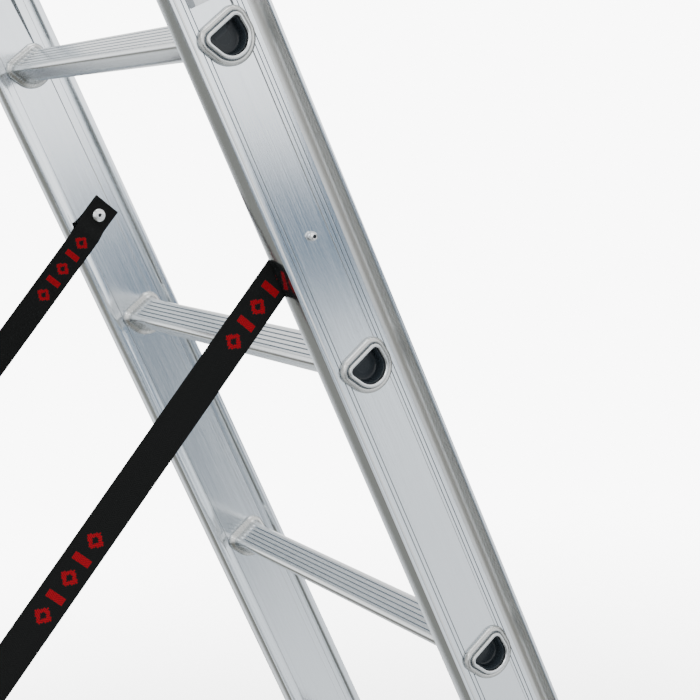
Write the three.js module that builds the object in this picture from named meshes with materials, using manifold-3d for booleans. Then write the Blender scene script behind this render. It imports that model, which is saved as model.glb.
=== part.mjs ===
// Three-section combination ladder standing as an A-frame, in mm, +Z up.
// The rear section carries the stabiliser bar. The front section hangs on the
// apex bolts and carries the fly section, which slides up on it.
// Each section is drawn upright with the ladder folded flat (climbing side on
// -Y, the feet of the front section at z = 0), then leaned about the apex bolts.
import * as THREE from 'three';
import { mergeVertices } from 'three/addons/utils/BufferGeometryUtils.js';
import { ConvexGeometry } from 'three/addons/geometries/ConvexGeometry.js';
import Module from 'manifold-3d';

const wasm = await Module();
wasm.setup();

// overall layout
const leanDegrees = 18; // each leg from the vertical
const rungPitch = 280;
const rungCount = 7;
const apexAboveTopRung = 80;
const rearWebSpacing = 473; // between the inner faces of the rear stile webs
const fitGap = 0.3; // between pieces that touch
const nestClearance = 3.6; // between a stile and the rungs of the section behind it
const frontSideGap = 3.4; // between the front lips and the hinge plates
const flySideGap = 4; // between the fly lips and the front rails

// stile section: web, two flanges with lips outward and rails inward
const stileDepth = 75.6;
const webThickness = 2;
const lipReach = 16.5; // lips beyond the outer face of the web
const lipThickness = 3.3;
const railReach = 5.5; // rails inside the inner face of the web
const railThickness = 7.6;
const cornerRise = 6.7; // sloped corner between web and flange
const cornerRun = 8;
const grooveNear = 19; // shallow grooves along the web, from its middle
const grooveFar = 22.5;
const grooveEase = 0.6; // slope at each side of a groove
const grooveDepth = 0.5;
const railEase = 1.5; // chamfer at the rail tip

// rung: flat tread over a rounded belly, swaged into the stiles
const treadTilt = 15.4; // degrees, level when the ladder leans on a wall
const rungWall = 1.8;
const rungReach = 16.6; // from the middle of a rung to its edge towards the climber
const treadHeight = 12; // from the middle of a rung up to its tread
const rungEndReach = 7; // rim beyond the outer face of the web
const beadHeight = 5;
const beadSpread = 1.4; // bead outline at the web as a multiple of the tube
const beadTopSpread = 1.1; // and at the top of the bead

// ends
const rearTopAboveApex = 34;
const frontTopAboveApex = 38;
const flyTopBelowApex = 10;
const capHeight = 12;
const capEdge = 0.8; // cap beyond the stile all round
const capChamfer = 4;
const bootEdge = 1; // boot beyond the stile all round
const bootPadGap = 0.6; // between the boot pad and the rails
const frontStileStart = 28;
const bootPadTop = 60;
const flyStileStart = 45;

// stabiliser bar
const barLength = 900;
const barDepth = 50;
const barHeight = 40;
const barWall = 2.5;
const barClearance = 2.4; // between the bar and the folded front boots
const shoeLength = 62;
const shoeWall = 4;
const shoeChamfer = 4;
const tongueHeight = 62; // above the bar
const tongueInset = 1; // inside the stile corners and lips

// apex hinge
const plateThickness = 3;
const plateGap = 0.6; // between the plate and the rear rails
const plateAboveRung = 23; // from the middle of the top rung
const plateTopRise = 22; // above the bolts
const plateHalfWidth = 26; // over the rear stile
const plateNose = 20; // in front of the bolts
const plateLowRivet = 13; // from the bottom edge of the plate
const plateHighRivet = 8; // above the bolts
const plateRivetRadius = 7;
const boltRadius = 6;
const boltClearance = 0.1;
const boltHeadRadius = 10;
const boltHeadHeight = 6;
const boltTip = 9; // inside the front web
const boltBevel = 2;
const spacerRadius = 9;

// restraint straps
const strapBelowRung = 163; // rear rivet below rung number strapRung
const strapRung = 5;
const strapBelowLevel = 44.2; // degrees, from the rear rivet down to the front stud
const strapWidth = 29;
const strapThickness = 1.6;
const strapTail = 15;
const strapRise = 2; // the strap lifts this far before the rail
const strapOnRail = 18; // length that rides over the rail
const strapToStud = 24; // level length before the stud
const strapLipGap = 2.6; // between the front lips and the strap
const rivetHeadRadius = 7;
const rivetHeadHeight = 2.2;
const rivetTailHeight = 6;
const rivetShankRadius = 2.6;
const studRadius = 5;
const studFlangeRadius = 9;

// guides and rung hooks of the fly
const guideThickness = 3;
const guideLength = 60;
const guideTongueGap = 1;
const guideBelowRung = 30;
const guideLegBack = 26; // from the back face of the front stile
const guideLegHalf = 22;
const guideBridge = 8;
const guideLink = 4;
const hookThickness = 4;
const hookPinRadius = 4;
const hookPinBack = 16; // behind the middle of the fly web
const hookPinRise = 58; // above the middle of its rung
const hookRailGap = 1;
const hookParked = 165; // degrees the parked hook is swung up off its rung

const lean = THREE.MathUtils.degToRad(leanDegrees);
const apexHeight = rungPitch * rungCount + apexAboveTopRung; // along the front stile
const half = stileDepth / 2;
const lipTip = webThickness + lipReach;
const planeOffset = half + rungReach + nestClearance; // between sections when folded
const rearWeb = rearWebSpacing / 2;
const plateOuter = rearWeb - railReach - plateGap;
const plateInner = plateOuter - plateThickness;
const frontWeb = plateInner - frontSideGap - lipTip;
const flyWeb = frontWeb - railReach - flySideGap - lipTip;
const rearY = planeOffset;
const frontY = 0;
const flyY = -planeOffset;

const finishes = {
  aluminium: new THREE.MeshStandardMaterial({ color: 0xb9c0c6, roughness: 0.36, metalness: 1 }),
  rubber: new THREE.MeshStandardMaterial({ color: 0x16171a, roughness: 0.6, metalness: 0 }),
  steel: new THREE.MeshStandardMaterial({ color: 0x9a9ea3, roughness: 0.32, metalness: 1 }),
  webbing: new THREE.MeshStandardMaterial({ color: 0x141416, roughness: 0.85, metalness: 0 }),
};

const ladder = new THREE.Group();
ladder.name = 'combination_ladder';

// ---- solids ----

function solid(geometry) {
  const bare = geometry.clone();
  bare.deleteAttribute('normal');
  if (bare.getAttribute('uv')) {
    bare.deleteAttribute('uv');
  }
  const merged = mergeVertices(bare, 1e-4);
  const mesh = new wasm.Mesh({
    numProp: 3,
    vertProperties: new Float32Array(merged.getAttribute('position').array),
    triVerts: new Uint32Array(merged.getIndex().array),
  });
  return new wasm.Manifold(mesh);
}

function union(parts) {
  return parts.slice(1).reduce((whole, part) => whole.add(part), parts[0]);
}

function addNode(name, body, finish) {
  const mesh = body.getMesh();
  const geometry = new THREE.BufferGeometry();
  geometry.setAttribute('position', new THREE.BufferAttribute(new Float32Array(mesh.vertProperties), 3));
  geometry.setIndex(new THREE.BufferAttribute(new Uint32Array(mesh.triVerts), 1));
  geometry.computeVertexNormals();
  const node = new THREE.Mesh(geometry, finishes[finish]);
  node.name = name;
  ladder.add(node);
}

// leans a solid drawn in the folded ladder about the apex bolts
function leaned(body, sign) {
  const move = new THREE.Matrix4().makeTranslation(0, 0, apexHeight * Math.cos(lean));
  move.multiply(new THREE.Matrix4().makeRotationX(sign * lean));
  move.multiply(new THREE.Matrix4().makeTranslation(0, 0, -apexHeight));
  return body.transform(move.elements);
}

function addPair(name, body, finish, sign) {
  addNode(`${name}_right`, leaned(body, sign), finish);
  addNode(`${name}_left`, leaned(body.mirror([1, 0, 0]), sign), finish);
}

function box(x0, x1, y0, y1, z0, z1) {
  const geometry = new THREE.BoxGeometry(x1 - x0, y1 - y0, z1 - z0);
  geometry.translate((x0 + x1) / 2, (y0 + y1) / 2, (z0 + z1) / 2);
  return solid(geometry);
}

// a turned piece along X from (x, radius) pairs
function turned(profile, y, z, segments) {
  const points = profile.map(([x, radius]) => new THREE.Vector2(radius, x));
  const geometry = new THREE.LatheGeometry(points, segments);
  geometry.rotateZ(-Math.PI / 2);
  geometry.translate(0, y, z);
  return solid(geometry);
}

// a flat plate of thickness x0..x1 from an outline of (y, z) points
function plate(outline, x0, x1, holes = []) {
  const shape = new THREE.Shape(outline.map(([y, z]) => new THREE.Vector2(y, z)));
  for (const [y, z, radius, count] of holes) {
    const ring = [];
    for (let i = 0; i < count; i += 1) {
      const angle = (-i / count) * Math.PI * 2;
      ring.push(new THREE.Vector2(y + radius * Math.cos(angle), z + radius * Math.sin(angle)));
    }
    shape.holes.push(new THREE.Path(ring));
  }
  const geometry = new THREE.ExtrudeGeometry(shape, { depth: x1 - x0, bevelEnabled: false });
  geometry.applyMatrix4(new THREE.Matrix4().set(0, 0, 1, x0, 1, 0, 0, 0, 0, 1, 0, 0, 0, 0, 0, 1));
  return solid(geometry);
}

// ---- stiles ----

// half of the stile outline as (outward, across) pairs, from the lip to the web middle
function stileOutline() {
  const outer = [
    [lipTip, half],
    [lipTip, half - lipThickness],
    [webThickness + cornerRise, half - lipThickness],
    [webThickness, half - lipThickness - cornerRun],
    [webThickness, grooveFar],
    [webThickness - grooveDepth, grooveFar - grooveEase],
    [webThickness - grooveDepth, grooveNear + grooveEase],
    [webThickness, grooveNear],
  ];
  const inner = [
    [-railReach + railEase, half],
    [-railReach, half - railEase],
    [-railReach, half - railThickness + 1],
    [-railReach + 1, half - railThickness],
    [0, half - railThickness],
  ];
  const outerDown = outer.slice().reverse().map(([w, v]) => [w, -v]);
  const innerDown = inner.slice().reverse().map(([w, v]) => [w, -v]);
  return [...outer, ...outerDown, ...innerDown.slice().reverse(), ...inner.slice().reverse()];
}

function stileBlank(web, y, z0, z1) {
  const shape = new THREE.Shape(stileOutline().map(([w, v]) => new THREE.Vector2(web + w, y + v)));
  const geometry = new THREE.ExtrudeGeometry(shape, { depth: z1 - z0, bevelEnabled: false });
  geometry.translate(0, 0, z0);
  return solid(geometry);
}

function stile(web, y, z0, z1, extraHoles) {
  const cutters = [...extraHoles];
  for (let i = 1; i <= rungCount; i += 1) {
    cutters.push(rungBar(-fitGap, web - 1, web + webThickness + 1, y, i * rungPitch));
  }
  return stileBlank(web, y, z0, z1).subtract(union(cutters));
}

// ---- rungs ----

// tube outline about its middle, (along the tread, up from it), before the tilt
const rungOutline = [
  [-15.3, 8.6],
  [-12.6, 12],
  [13.6, 12],
  [16.6, 9],
  [16.6, 2],
  [14, -5.6],
  [9, -11],
  [2, -13.8],
  [-5, -13],
  [-11.2, -8.8],
  [-14.8, -2],
];

// outline tilted into place, shrunk by inset and scaled by spread
function rungRing(inset, spread) {
  const tilt = THREE.MathUtils.degToRad(treadTilt);
  return rungOutline.map(([t, d]) => {
    const reach = Math.hypot(t, d);
    const scale = ((reach - inset) / reach) * spread;
    const along = t * scale;
    const up = d * scale;
    return [along * Math.cos(tilt) - up * Math.sin(tilt), along * Math.sin(tilt) + up * Math.cos(tilt)];
  });
}

function rungBar(inset, x0, x1, y, z) {
  return plate(rungRing(inset, 1).map(([v, u]) => [y + v, z + u]), x0, x1);
}

// swaged bead standing on the web face at x, growing in direction side
function bead(x, side, y, z) {
  const steps = [[0, beadSpread], [beadHeight, beadTopSpread]];
  const points = [];
  for (const [rise, spread] of steps) {
    for (const [v, u] of rungRing(0, spread)) {
      points.push(new THREE.Vector3(x + side * rise, y + v, z + u));
    }
  }
  return solid(new ConvexGeometry(points));
}

function rung(web, y, z) {
  const end = web + webThickness + rungEndReach;
  const parts = [rungBar(0, -end, end, y, z)];
  for (const side of [-1, 1]) {
    parts.push(bead(side * (web - fitGap), -side, y, z));
    parts.push(bead(side * (web + webThickness + fitGap), side, y, z));
  }
  return union(parts).subtract(rungBar(rungWall, -end - 1, end + 1, y, z));
}

function addRungs(name, web, y, sign) {
  for (let i = 1; i <= rungCount; i += 1) {
    addNode(`${name}_rung_${i}`, leaned(rung(web, y, i * rungPitch), sign), 'aluminium');
  }
}

// plastic block closing the end of a stile
function stileCap(web, y, z0, z1) {
  const x0 = web - railReach - capEdge;
  const x1 = web + lipTip + capEdge;
  const y0 = y - half - capEdge;
  const y1 = y + half + capEdge;
  const points = [];
  for (const [z, inset] of [[z0, 0], [z1 - capChamfer, 0], [z1, capChamfer]]) {
    for (const px of [x0 + inset, x1 - inset]) {
      for (const py of [y0 + inset, y1 - inset]) {
        points.push(new THREE.Vector3(px, py, z));
      }
    }
  }
  return solid(new ConvexGeometry(points));
}

// ---- rear section ----

const rearTop = apexHeight + rearTopAboveApex;
const barFront = frontY + half + bootEdge + barClearance;
const strapRearZ = strapRung * rungPitch - strapBelowRung;

const rivetHole = turned(
  [[rearWeb - 1, 0], [rearWeb - 1, rivetShankRadius + fitGap],
    [rearWeb + webThickness + 1, rivetShankRadius + fitGap], [rearWeb + webThickness + 1, 0]],
  rearY, strapRearZ, 12,
);
const plateBottom = rungCount * rungPitch + plateAboveRung;
const plateRivets = [[rearY, plateBottom + plateLowRivet], [rearY, apexHeight + plateHighRivet]];

addPair('rear_stile', stile(rearWeb, rearY, barHeight + fitGap, rearTop, [rivetHole]), 'aluminium', 1);
addRungs('rear', rearWeb, rearY, 1);
addPair('rear_top_cap', stileCap(rearWeb, rearY, rearTop + fitGap, rearTop + capHeight), 'rubber', 1);

// square tube across the rear feet
function stabiliserBar() {
  const reach = barLength / 2;
  const outside = box(-reach, reach, barFront, barFront + barDepth, 0, barHeight);
  const hollow = box(
    -reach - 1, reach + 1,
    barFront + barWall, barFront + barDepth - barWall,
    barWall, barHeight - barWall,
  );
  return outside.subtract(hollow);
}
addNode('stabiliser_bar', leaned(stabiliserBar(), 1), 'aluminium');

// block that joins the bar to a stile, inside the stile channel
function barTongue() {
  const inset = lipThickness + cornerRun + tongueInset;
  return box(
    rearWeb + webThickness + fitGap, rearWeb + lipTip - tongueInset,
    rearY - half + inset, rearY + half - inset,
    barHeight + fitGap, barHeight + tongueHeight,
  );
}
addPair('bar_tongue', barTongue(), 'aluminium', 1);

// rubber shoe over each end of the bar, its sole level on the floor
function barShoe() {
  const y0 = barFront - shoeWall;
  const y1 = barFront + barDepth + shoeWall;
  const floorAt = (y) => -y * Math.tan(lean);
  const reach = barLength / 2;
  const outline = [
    [y0, floorAt(y0)],
    [y1, floorAt(y1)],
    [y1, barHeight + shoeWall - shoeChamfer],
    [y1 - shoeChamfer, barHeight + shoeWall],
    [y0 + shoeChamfer, barHeight + shoeWall],
    [y0, barHeight + shoeWall - shoeChamfer],
  ];
  const block = plate(outline, reach + shoeWall - shoeLength, reach + shoeWall);
  const pocket = box(
    reach + shoeWall - shoeLength - 1, reach + fitGap,
    barFront - fitGap, barFront + barDepth + fitGap,
    -fitGap, barHeight + fitGap,
  );
  return block.subtract(pocket);
}
addPair('stabiliser_shoe', barShoe(), 'rubber', 1);

// steel plates that carry the apex bolts
function hingePlate() {
  const bottom = plateBottom;
  const top = apexHeight + plateTopRise;
  const back = rearY + plateHalfWidth;
  const nose = -plateNose;
  const outline = [
    [nose * 0.7, apexHeight + nose * 0.8],
    [0, apexHeight + nose * 1.05],
    [rearY - plateHalfWidth, bottom + 8],
    [rearY - plateHalfWidth + 8, bottom],
    [back, bottom],
    [back, top - 8],
    [back - 8, top],
    [6, top - 2],
    [nose * 0.6, top - 6],
    [nose * 0.95, top - 14],
    [nose, apexHeight + nose * 0.3],
  ];
  const sheet = plate(outline, plateInner, plateOuter, [[0, apexHeight, boltRadius + boltClearance, 20]]);
  const rivets = plateRivets.map(([y, z]) => turned(
    [[plateInner - 2, 0], [plateInner - 2, plateRivetRadius - 1], [plateInner + 0.5, plateRivetRadius + 1],
      [plateOuter - 0.5, plateRivetRadius + 1], [plateOuter, plateRivetRadius],
      [rearWeb - fitGap, plateRivetRadius], [rearWeb - fitGap, 0]],
    y, z, 12,
  ));
  return union([sheet, ...rivets]);
}
addPair('hinge_plate', hingePlate(), 'steel', 1);

function apexBolt() {
  const webIn = frontWeb - fitGap;
  const webOut = frontWeb + webThickness + fitGap;
  const profile = [
    [webIn - boltTip, 0],
    [webIn - boltTip, boltHeadRadius - boltBevel],
    [webIn - boltTip + boltBevel, boltHeadRadius],
    [webIn, boltHeadRadius],
    [webIn, boltRadius],
    [webOut, boltRadius],
    [webOut, spacerRadius],
    [plateInner - fitGap, spacerRadius],
    [plateInner - fitGap, boltRadius],
    [plateOuter + fitGap, boltRadius],
    [plateOuter + fitGap, boltHeadRadius],
    [plateOuter + boltHeadHeight - boltBevel, boltHeadRadius],
    [plateOuter + boltHeadHeight, boltHeadRadius - boltBevel],
    [plateOuter + boltHeadHeight, 0],
  ];
  return turned(profile, 0, apexHeight, 20);
}
addPair('apex_bolt', apexBolt(), 'steel', 1);

// ---- front section ----

const frontTop = apexHeight + frontTopAboveApex;

// where the strap line meets the front section, along the front stile
// below the square to the rear stile
const strapAngle = THREE.MathUtils.degToRad(strapBelowLevel - leanDegrees);
const strapFall = apexHeight - strapRearZ;
const strapFront = (() => {
  const open = 2 * lean;
  const slope = Math.tan(strapAngle);
  return (strapFall + slope * planeOffset) / (Math.cos(open) - slope * Math.sin(open));
})();
const strapFrontZ = apexHeight - strapFront;
const strapSpan = (planeOffset + strapFront * Math.sin(2 * lean)) / Math.cos(strapAngle);

function crossHole(web, z, radius, count) {
  const far = web + webThickness + 1;
  const profile = [[web - 1, 0], [web - 1, radius], [far, radius], [far, 0]];
  return turned(profile, frontY, z, count);
}
const frontHoles = [
  crossHole(frontWeb, apexHeight, boltRadius + boltClearance, 20),
  crossHole(frontWeb, strapFrontZ, studRadius + fitGap, 12),
];
addPair('front_stile', stile(frontWeb, frontY, frontStileStart, frontTop, frontHoles), 'aluminium', -1);
addRungs('front', frontWeb, frontY, -1);
addPair('front_top_cap', stileCap(frontWeb, frontY, frontTop + fitGap, frontTop + capHeight), 'rubber', -1);

// rubber boot: level sole, a plug in the channel and a pad the fly rests on
function frontBoot() {
  const y0 = -half - bootEdge;
  const y1 = half + bootEdge;
  const floorAt = (y) => y * Math.tan(lean);
  const sole = plate(
    [[y0, floorAt(y0)], [y1, floorAt(y1)], [y1, frontStileStart - fitGap], [y0, frontStileStart - fitGap]],
    frontWeb - railReach - bootEdge, frontWeb + lipTip + bootEdge,
  );
  const inset = lipThickness + cornerRun + tongueInset;
  const padInset = railThickness + bootPadGap;
  const plug = box(
    frontWeb + webThickness + fitGap, frontWeb + lipTip - bootPadGap,
    -half + inset, half - inset, frontStileStart - 2, bootPadTop,
  );
  const pad = box(
    frontWeb - railReach + bootPadGap, frontWeb - fitGap,
    -half + padInset, half - padInset, frontStileStart - 2, bootPadTop,
  );
  return union([sole, plug, pad]);
}
addPair('front_boot', frontBoot(), 'rubber', -1);

// stud that carries the front end of a strap across the open channel
const strapFrontX = frontWeb + lipTip + strapLipGap;
function strapStud() {
  const profile = [
    [frontWeb - fitGap - 3, 0],
    [frontWeb - fitGap - 3, studFlangeRadius - 2],
    [frontWeb - fitGap, studFlangeRadius],
    [frontWeb - fitGap, studRadius],
    [frontWeb + webThickness + fitGap, studRadius],
    [frontWeb + webThickness + fitGap, studFlangeRadius],
    [strapFrontX - fitGap, studFlangeRadius],
    [strapFrontX - fitGap, rivetShankRadius],
    [strapFrontX + strapThickness + fitGap, rivetShankRadius],
    [strapFrontX + strapThickness + fitGap, rivetHeadRadius],
    [strapFrontX + strapThickness + 1.2, rivetHeadRadius],
    [strapFrontX + strapThickness + 2, rivetHeadRadius - 2],
    [strapFrontX + strapThickness + 2, 0],
  ];
  return turned(profile, 0, strapFrontZ, 16);
}
addPair('strap_stud', strapStud(), 'steel', -1);

// angle on the inner face of the front web, its tongue inside the fly channel
const flyRearLip = flyY + half - lipThickness; // inner face of the fly rear lip
function frontGuide() {
  const tongueY = flyRearLip - guideTongueGap - guideThickness;
  const z0 = rungCount * rungPitch - guideBelowRung - guideLength;
  const z1 = z0 + guideLength;
  const face = frontWeb - fitGap;
  const leg = box(face - guideThickness, face, tongueY, half - guideLegBack, z0, z1);
  const tongue = box(
    flyWeb + webThickness + cornerRise + 1, face,
    tongueY, tongueY + guideThickness, z0, z1,
  );
  return union([leg, tongue]);
}
addPair('front_guide', frontGuide(), 'steel', -1);

// ---- fly section ----

const flyTop = apexHeight - flyTopBelowApex;
const hookPinY = flyY + hookPinBack;
const hookPinZ = rungPitch + hookPinRise;
const pinHole = turned(
  [[flyWeb - 1, 0], [flyWeb - 1, hookPinRadius + fitGap],
    [flyWeb + webThickness + 1, hookPinRadius + fitGap], [flyWeb + webThickness + 1, 0]],
  hookPinY, hookPinZ, 12,
);
addPair('fly_stile', stile(flyWeb, flyY, flyStileStart, flyTop, [pinHole]), 'aluminium', -1);
addRungs('fly', flyWeb, flyY, -1);
addPair('fly_top_cap', stileCap(flyWeb, flyY, flyTop + fitGap, flyTop + capHeight), 'rubber', -1);

function flyBottomCap() {
  return stileCap(flyWeb, flyY, -flyStileStart + fitGap, -flyStileStart + capHeight).mirror([0, 0, 1]);
}
addPair('fly_bottom_cap', flyBottomCap(), 'rubber', -1);

// angle in the fly channel, its tongue behind the front rail; it rests on the boot pad
function flyGuide() {
  const railBack = frontY - half + railThickness;
  const tongueY = railBack + guideTongueGap;
  const z0 = bootPadTop + fitGap;
  const z1 = z0 + guideLength;
  const leg = box(
    flyWeb + webThickness + fitGap, flyWeb + webThickness + fitGap + guideThickness,
    flyY - guideLegHalf, flyY + guideLegHalf, z0, z1,
  );
  const linkX = flyWeb + webThickness + cornerRise + 1;
  const bridge = box(
    flyWeb + webThickness + fitGap, linkX + guideLink,
    flyY + guideLegHalf - guideBridge, flyY + guideLegHalf, z0, z1,
  );
  const tongue = box(
    linkX, frontWeb - guideTongueGap,
    tongueY, tongueY + guideThickness, z0, z1,
  );
  const link = box(
    linkX, linkX + guideLink,
    flyY + guideLegHalf - guideLink, tongueY + guideThickness, z0, z1,
  );
  return union([leg, bridge, tongue, link]);
}
addPair('fly_guide', flyGuide(), 'steel', -1);

// hook that swings over a rung of the front section; drawn on the rung, then parked
function rungHook() {
  const x1 = flyWeb - railReach - hookRailGap;
  const x0 = x1 - hookThickness;
  const tilt = THREE.MathUtils.degToRad(treadTilt);
  const seat = (along, up) => [
    along * Math.cos(tilt) - up * Math.sin(tilt),
    rungPitch + along * Math.sin(tilt) + up * Math.cos(tilt),
  ];
  const seatTop = treadHeight + fitGap;
  const tine = rungReach + 2.9;
  const tineWidth = 6.5;
  const outline = [
    seat(-rungReach + 0.6, seatTop),
    seat(tine, seatTop),
    seat(tine, -treadHeight / 2),
    seat(tine + tineWidth, -treadHeight / 2),
    seat(tine + tineWidth, treadHeight + 8),
    seat(tine + 0.5, treadHeight + 15),
    [hookPinY + 14, hookPinZ + 9],
    [hookPinY, hookPinZ + 13],
    [hookPinY - 11, hookPinZ + 7],
    [hookPinY - 12, hookPinZ - 8],
    seat(-rungReach - 1.4, treadHeight + 6),
  ];
  const blade = plate(outline, x0, x1);
  const pin = turned(
    [[x0 - 2, 0], [x0 - 2, hookPinRadius + 3], [x1 - 1, hookPinRadius + 3], [x1 - 1, hookPinRadius],
      [flyWeb + webThickness + fitGap, hookPinRadius],
      [flyWeb + webThickness + fitGap, hookPinRadius + 3],
      [flyWeb + webThickness + 4, hookPinRadius + 2], [flyWeb + webThickness + 4, 0]],
    hookPinY, hookPinZ, 12,
  );
  const swing = new THREE.Matrix4().makeTranslation(0, hookPinY, hookPinZ);
  swing.multiply(new THREE.Matrix4().makeRotationX(THREE.MathUtils.degToRad(hookParked)));
  swing.multiply(new THREE.Matrix4().makeTranslation(0, -hookPinY, -hookPinZ));
  return union([blade, pin]).transform(swing.elements);
}
addPair('rung_hook', rungHook(), 'steel', -1);

// ---- restraint straps ----

// strap drawn in the rear section: over the inner rail, then straight to the stud
const strapRearX = rearWeb - fitGap - strapThickness;
const strapRailX = plateOuter - strapThickness + 0.2;
function strap() {
  const toRail = half - railThickness - (strapWidth / 2) * Math.sin(strapAngle);
  const lifted = toRail / Math.cos(strapAngle) - strapRise;
  const path = [
    [-strapTail, strapRearX],
    [rivetHeadRadius + 1, strapRearX],
    [lifted, strapRailX],
    [lifted + strapOnRail, strapRailX],
    [strapSpan - strapToStud, strapFrontX],
    [strapSpan + strapTail, strapFrontX],
  ];
  const upper = path.map(([t, x]) => new THREE.Vector2(t, x + strapThickness));
  const lower = path.map(([t, x]) => new THREE.Vector2(t, x)).reverse();
  const shape = new THREE.Shape([...lower, ...upper]);
  const geometry = new THREE.ExtrudeGeometry(shape, { depth: strapWidth, bevelEnabled: false });
  geometry.translate(0, 0, -strapWidth / 2);
  const along = new THREE.Vector3(0, -Math.cos(strapAngle), -Math.sin(strapAngle));
  const outward = new THREE.Vector3(1, 0, 0);
  const across = new THREE.Vector3().crossVectors(along, outward);
  geometry.applyMatrix4(new THREE.Matrix4().makeBasis(along, outward, across));
  geometry.translate(0, rearY, strapRearZ);
  const eyeRear = turned(
    [[strapRearX - 1, 0], [strapRearX - 1, rivetShankRadius + fitGap],
      [strapRearX + 3, rivetShankRadius + fitGap], [strapRearX + 3, 0]],
    rearY, strapRearZ, 12,
  );
  const frontEye = turned(
    [[strapFrontX - 1, 0], [strapFrontX - 1, rivetShankRadius + fitGap],
      [strapFrontX + 3, rivetShankRadius + fitGap], [strapFrontX + 3, 0]],
    rearY - strapSpan * Math.cos(strapAngle), strapRearZ - strapSpan * Math.sin(strapAngle), 12,
  );
  return solid(geometry).subtract(eyeRear).subtract(frontEye);
}
addPair('strap', strap(), 'webbing', 1);

// blind rivet: wide head over the strap, drawn tail behind the web
function strapRivet() {
  const profile = [
    [strapRearX - fitGap - rivetHeadHeight, 0],
    [strapRearX - fitGap - rivetHeadHeight, rivetHeadRadius - 4],
    [strapRearX - fitGap - rivetHeadHeight + 0.6, rivetHeadRadius - 1],
    [strapRearX - fitGap, rivetHeadRadius],
    [strapRearX - fitGap, rivetShankRadius],
    [rearWeb + webThickness + fitGap, rivetShankRadius],
    [rearWeb + webThickness + fitGap + 1, rivetShankRadius + 1.4],
    [rearWeb + webThickness + rivetTailHeight - 1, rivetShankRadius + 0.8],
    [rearWeb + webThickness + rivetTailHeight, 1],
    [rearWeb + webThickness + rivetTailHeight, 0],
  ];
  return turned(profile, rearY, strapRearZ, 16);
}
addPair('strap_rivet', strapRivet(), 'steel', 1);

// centre the footprint on the origin
const bounds = new THREE.Box3().setFromObject(ladder);
const centre = bounds.getCenter(new THREE.Vector3());
for (const node of ladder.children) {
  node.geometry.translate(-centre.x, -centre.y, -bounds.min.z);
}

export default ladder;
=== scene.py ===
import bpy
import math
from mathutils import Matrix, Vector
from mathutils.geometry import tessellate_polygon


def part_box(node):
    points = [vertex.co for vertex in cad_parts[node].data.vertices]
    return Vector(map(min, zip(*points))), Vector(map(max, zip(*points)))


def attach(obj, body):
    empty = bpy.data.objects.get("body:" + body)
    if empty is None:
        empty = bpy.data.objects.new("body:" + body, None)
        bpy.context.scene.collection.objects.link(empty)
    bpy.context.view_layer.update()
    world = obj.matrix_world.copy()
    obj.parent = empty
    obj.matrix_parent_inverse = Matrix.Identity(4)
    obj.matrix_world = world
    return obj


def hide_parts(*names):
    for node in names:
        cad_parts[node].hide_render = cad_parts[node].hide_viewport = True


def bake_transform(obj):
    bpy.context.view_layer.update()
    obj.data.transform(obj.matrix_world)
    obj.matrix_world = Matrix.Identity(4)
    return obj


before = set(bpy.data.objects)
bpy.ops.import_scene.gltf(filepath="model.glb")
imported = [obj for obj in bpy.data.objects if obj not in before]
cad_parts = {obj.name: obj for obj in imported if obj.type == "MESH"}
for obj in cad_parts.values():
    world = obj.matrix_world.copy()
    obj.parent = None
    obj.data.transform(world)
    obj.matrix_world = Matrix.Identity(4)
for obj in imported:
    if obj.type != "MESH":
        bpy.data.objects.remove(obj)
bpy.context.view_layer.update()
print("frame loaded")

mm = 0.001

# sizes shared by the whole ladder, in millimetres
layout = {
    "lean": 18.0,              # each leg from the vertical, degrees
    "rungPitch": 280.0,
    "rungCount": 7,
    "apexAboveTopRung": 80.0,
    "planeOffset": 58.0,       # between neighbouring sections when folded
    "stileDepth": 75.6,
    "webThickness": 2.0,
    "lipReach": 16.5,          # lips beyond the outer face of the web
    "railReach": 5.5,          # rails inside the inner face of the web
    "treadTilt": 15.4,         # degrees
}
half = layout["stileDepth"] / 2
lipTip = layout["webThickness"] + layout["lipReach"]
apexHeight = layout["rungPitch"] * layout["rungCount"] + layout["apexAboveTopRung"]

# each section: web inner face from the middle, plane, stile ends, lean sign, body
sections = {
    "rear": {"web": 236.5, "plane": 58.0, "bottom": 40.3, "top": 2074.0, "sign": 1, "body": "rear"},
    "front": {"web": 205.5, "plane": 0.0, "bottom": 28.0, "top": 2078.0, "sign": -1, "body": "front"},
    "fly": {"web": 177.5, "plane": -58.0, "bottom": 45.0, "top": 2030.0, "sign": -1, "body": "fly"},
}

rearWeb, frontWeb, flyWeb = [sections[name]["web"] for name in ("rear", "front", "fly")]
rearPlane, flyPlane = sections["rear"]["plane"], sections["fly"]["plane"]

boltLow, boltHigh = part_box("apex_bolt_right")
apexPoint = Vector((0, (boltLow[1] + boltHigh[1]) / 2, (boltLow[2] + boltHigh[2]) / 2))


def leanMatrix(sign):
    turn = Matrix.Rotation(math.radians(sign * layout["lean"]), 4, "X")
    return Matrix.Translation(apexPoint) @ turn @ Matrix.Translation((0, 0, -apexHeight * mm))


# ---- mesh helpers ----

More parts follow.
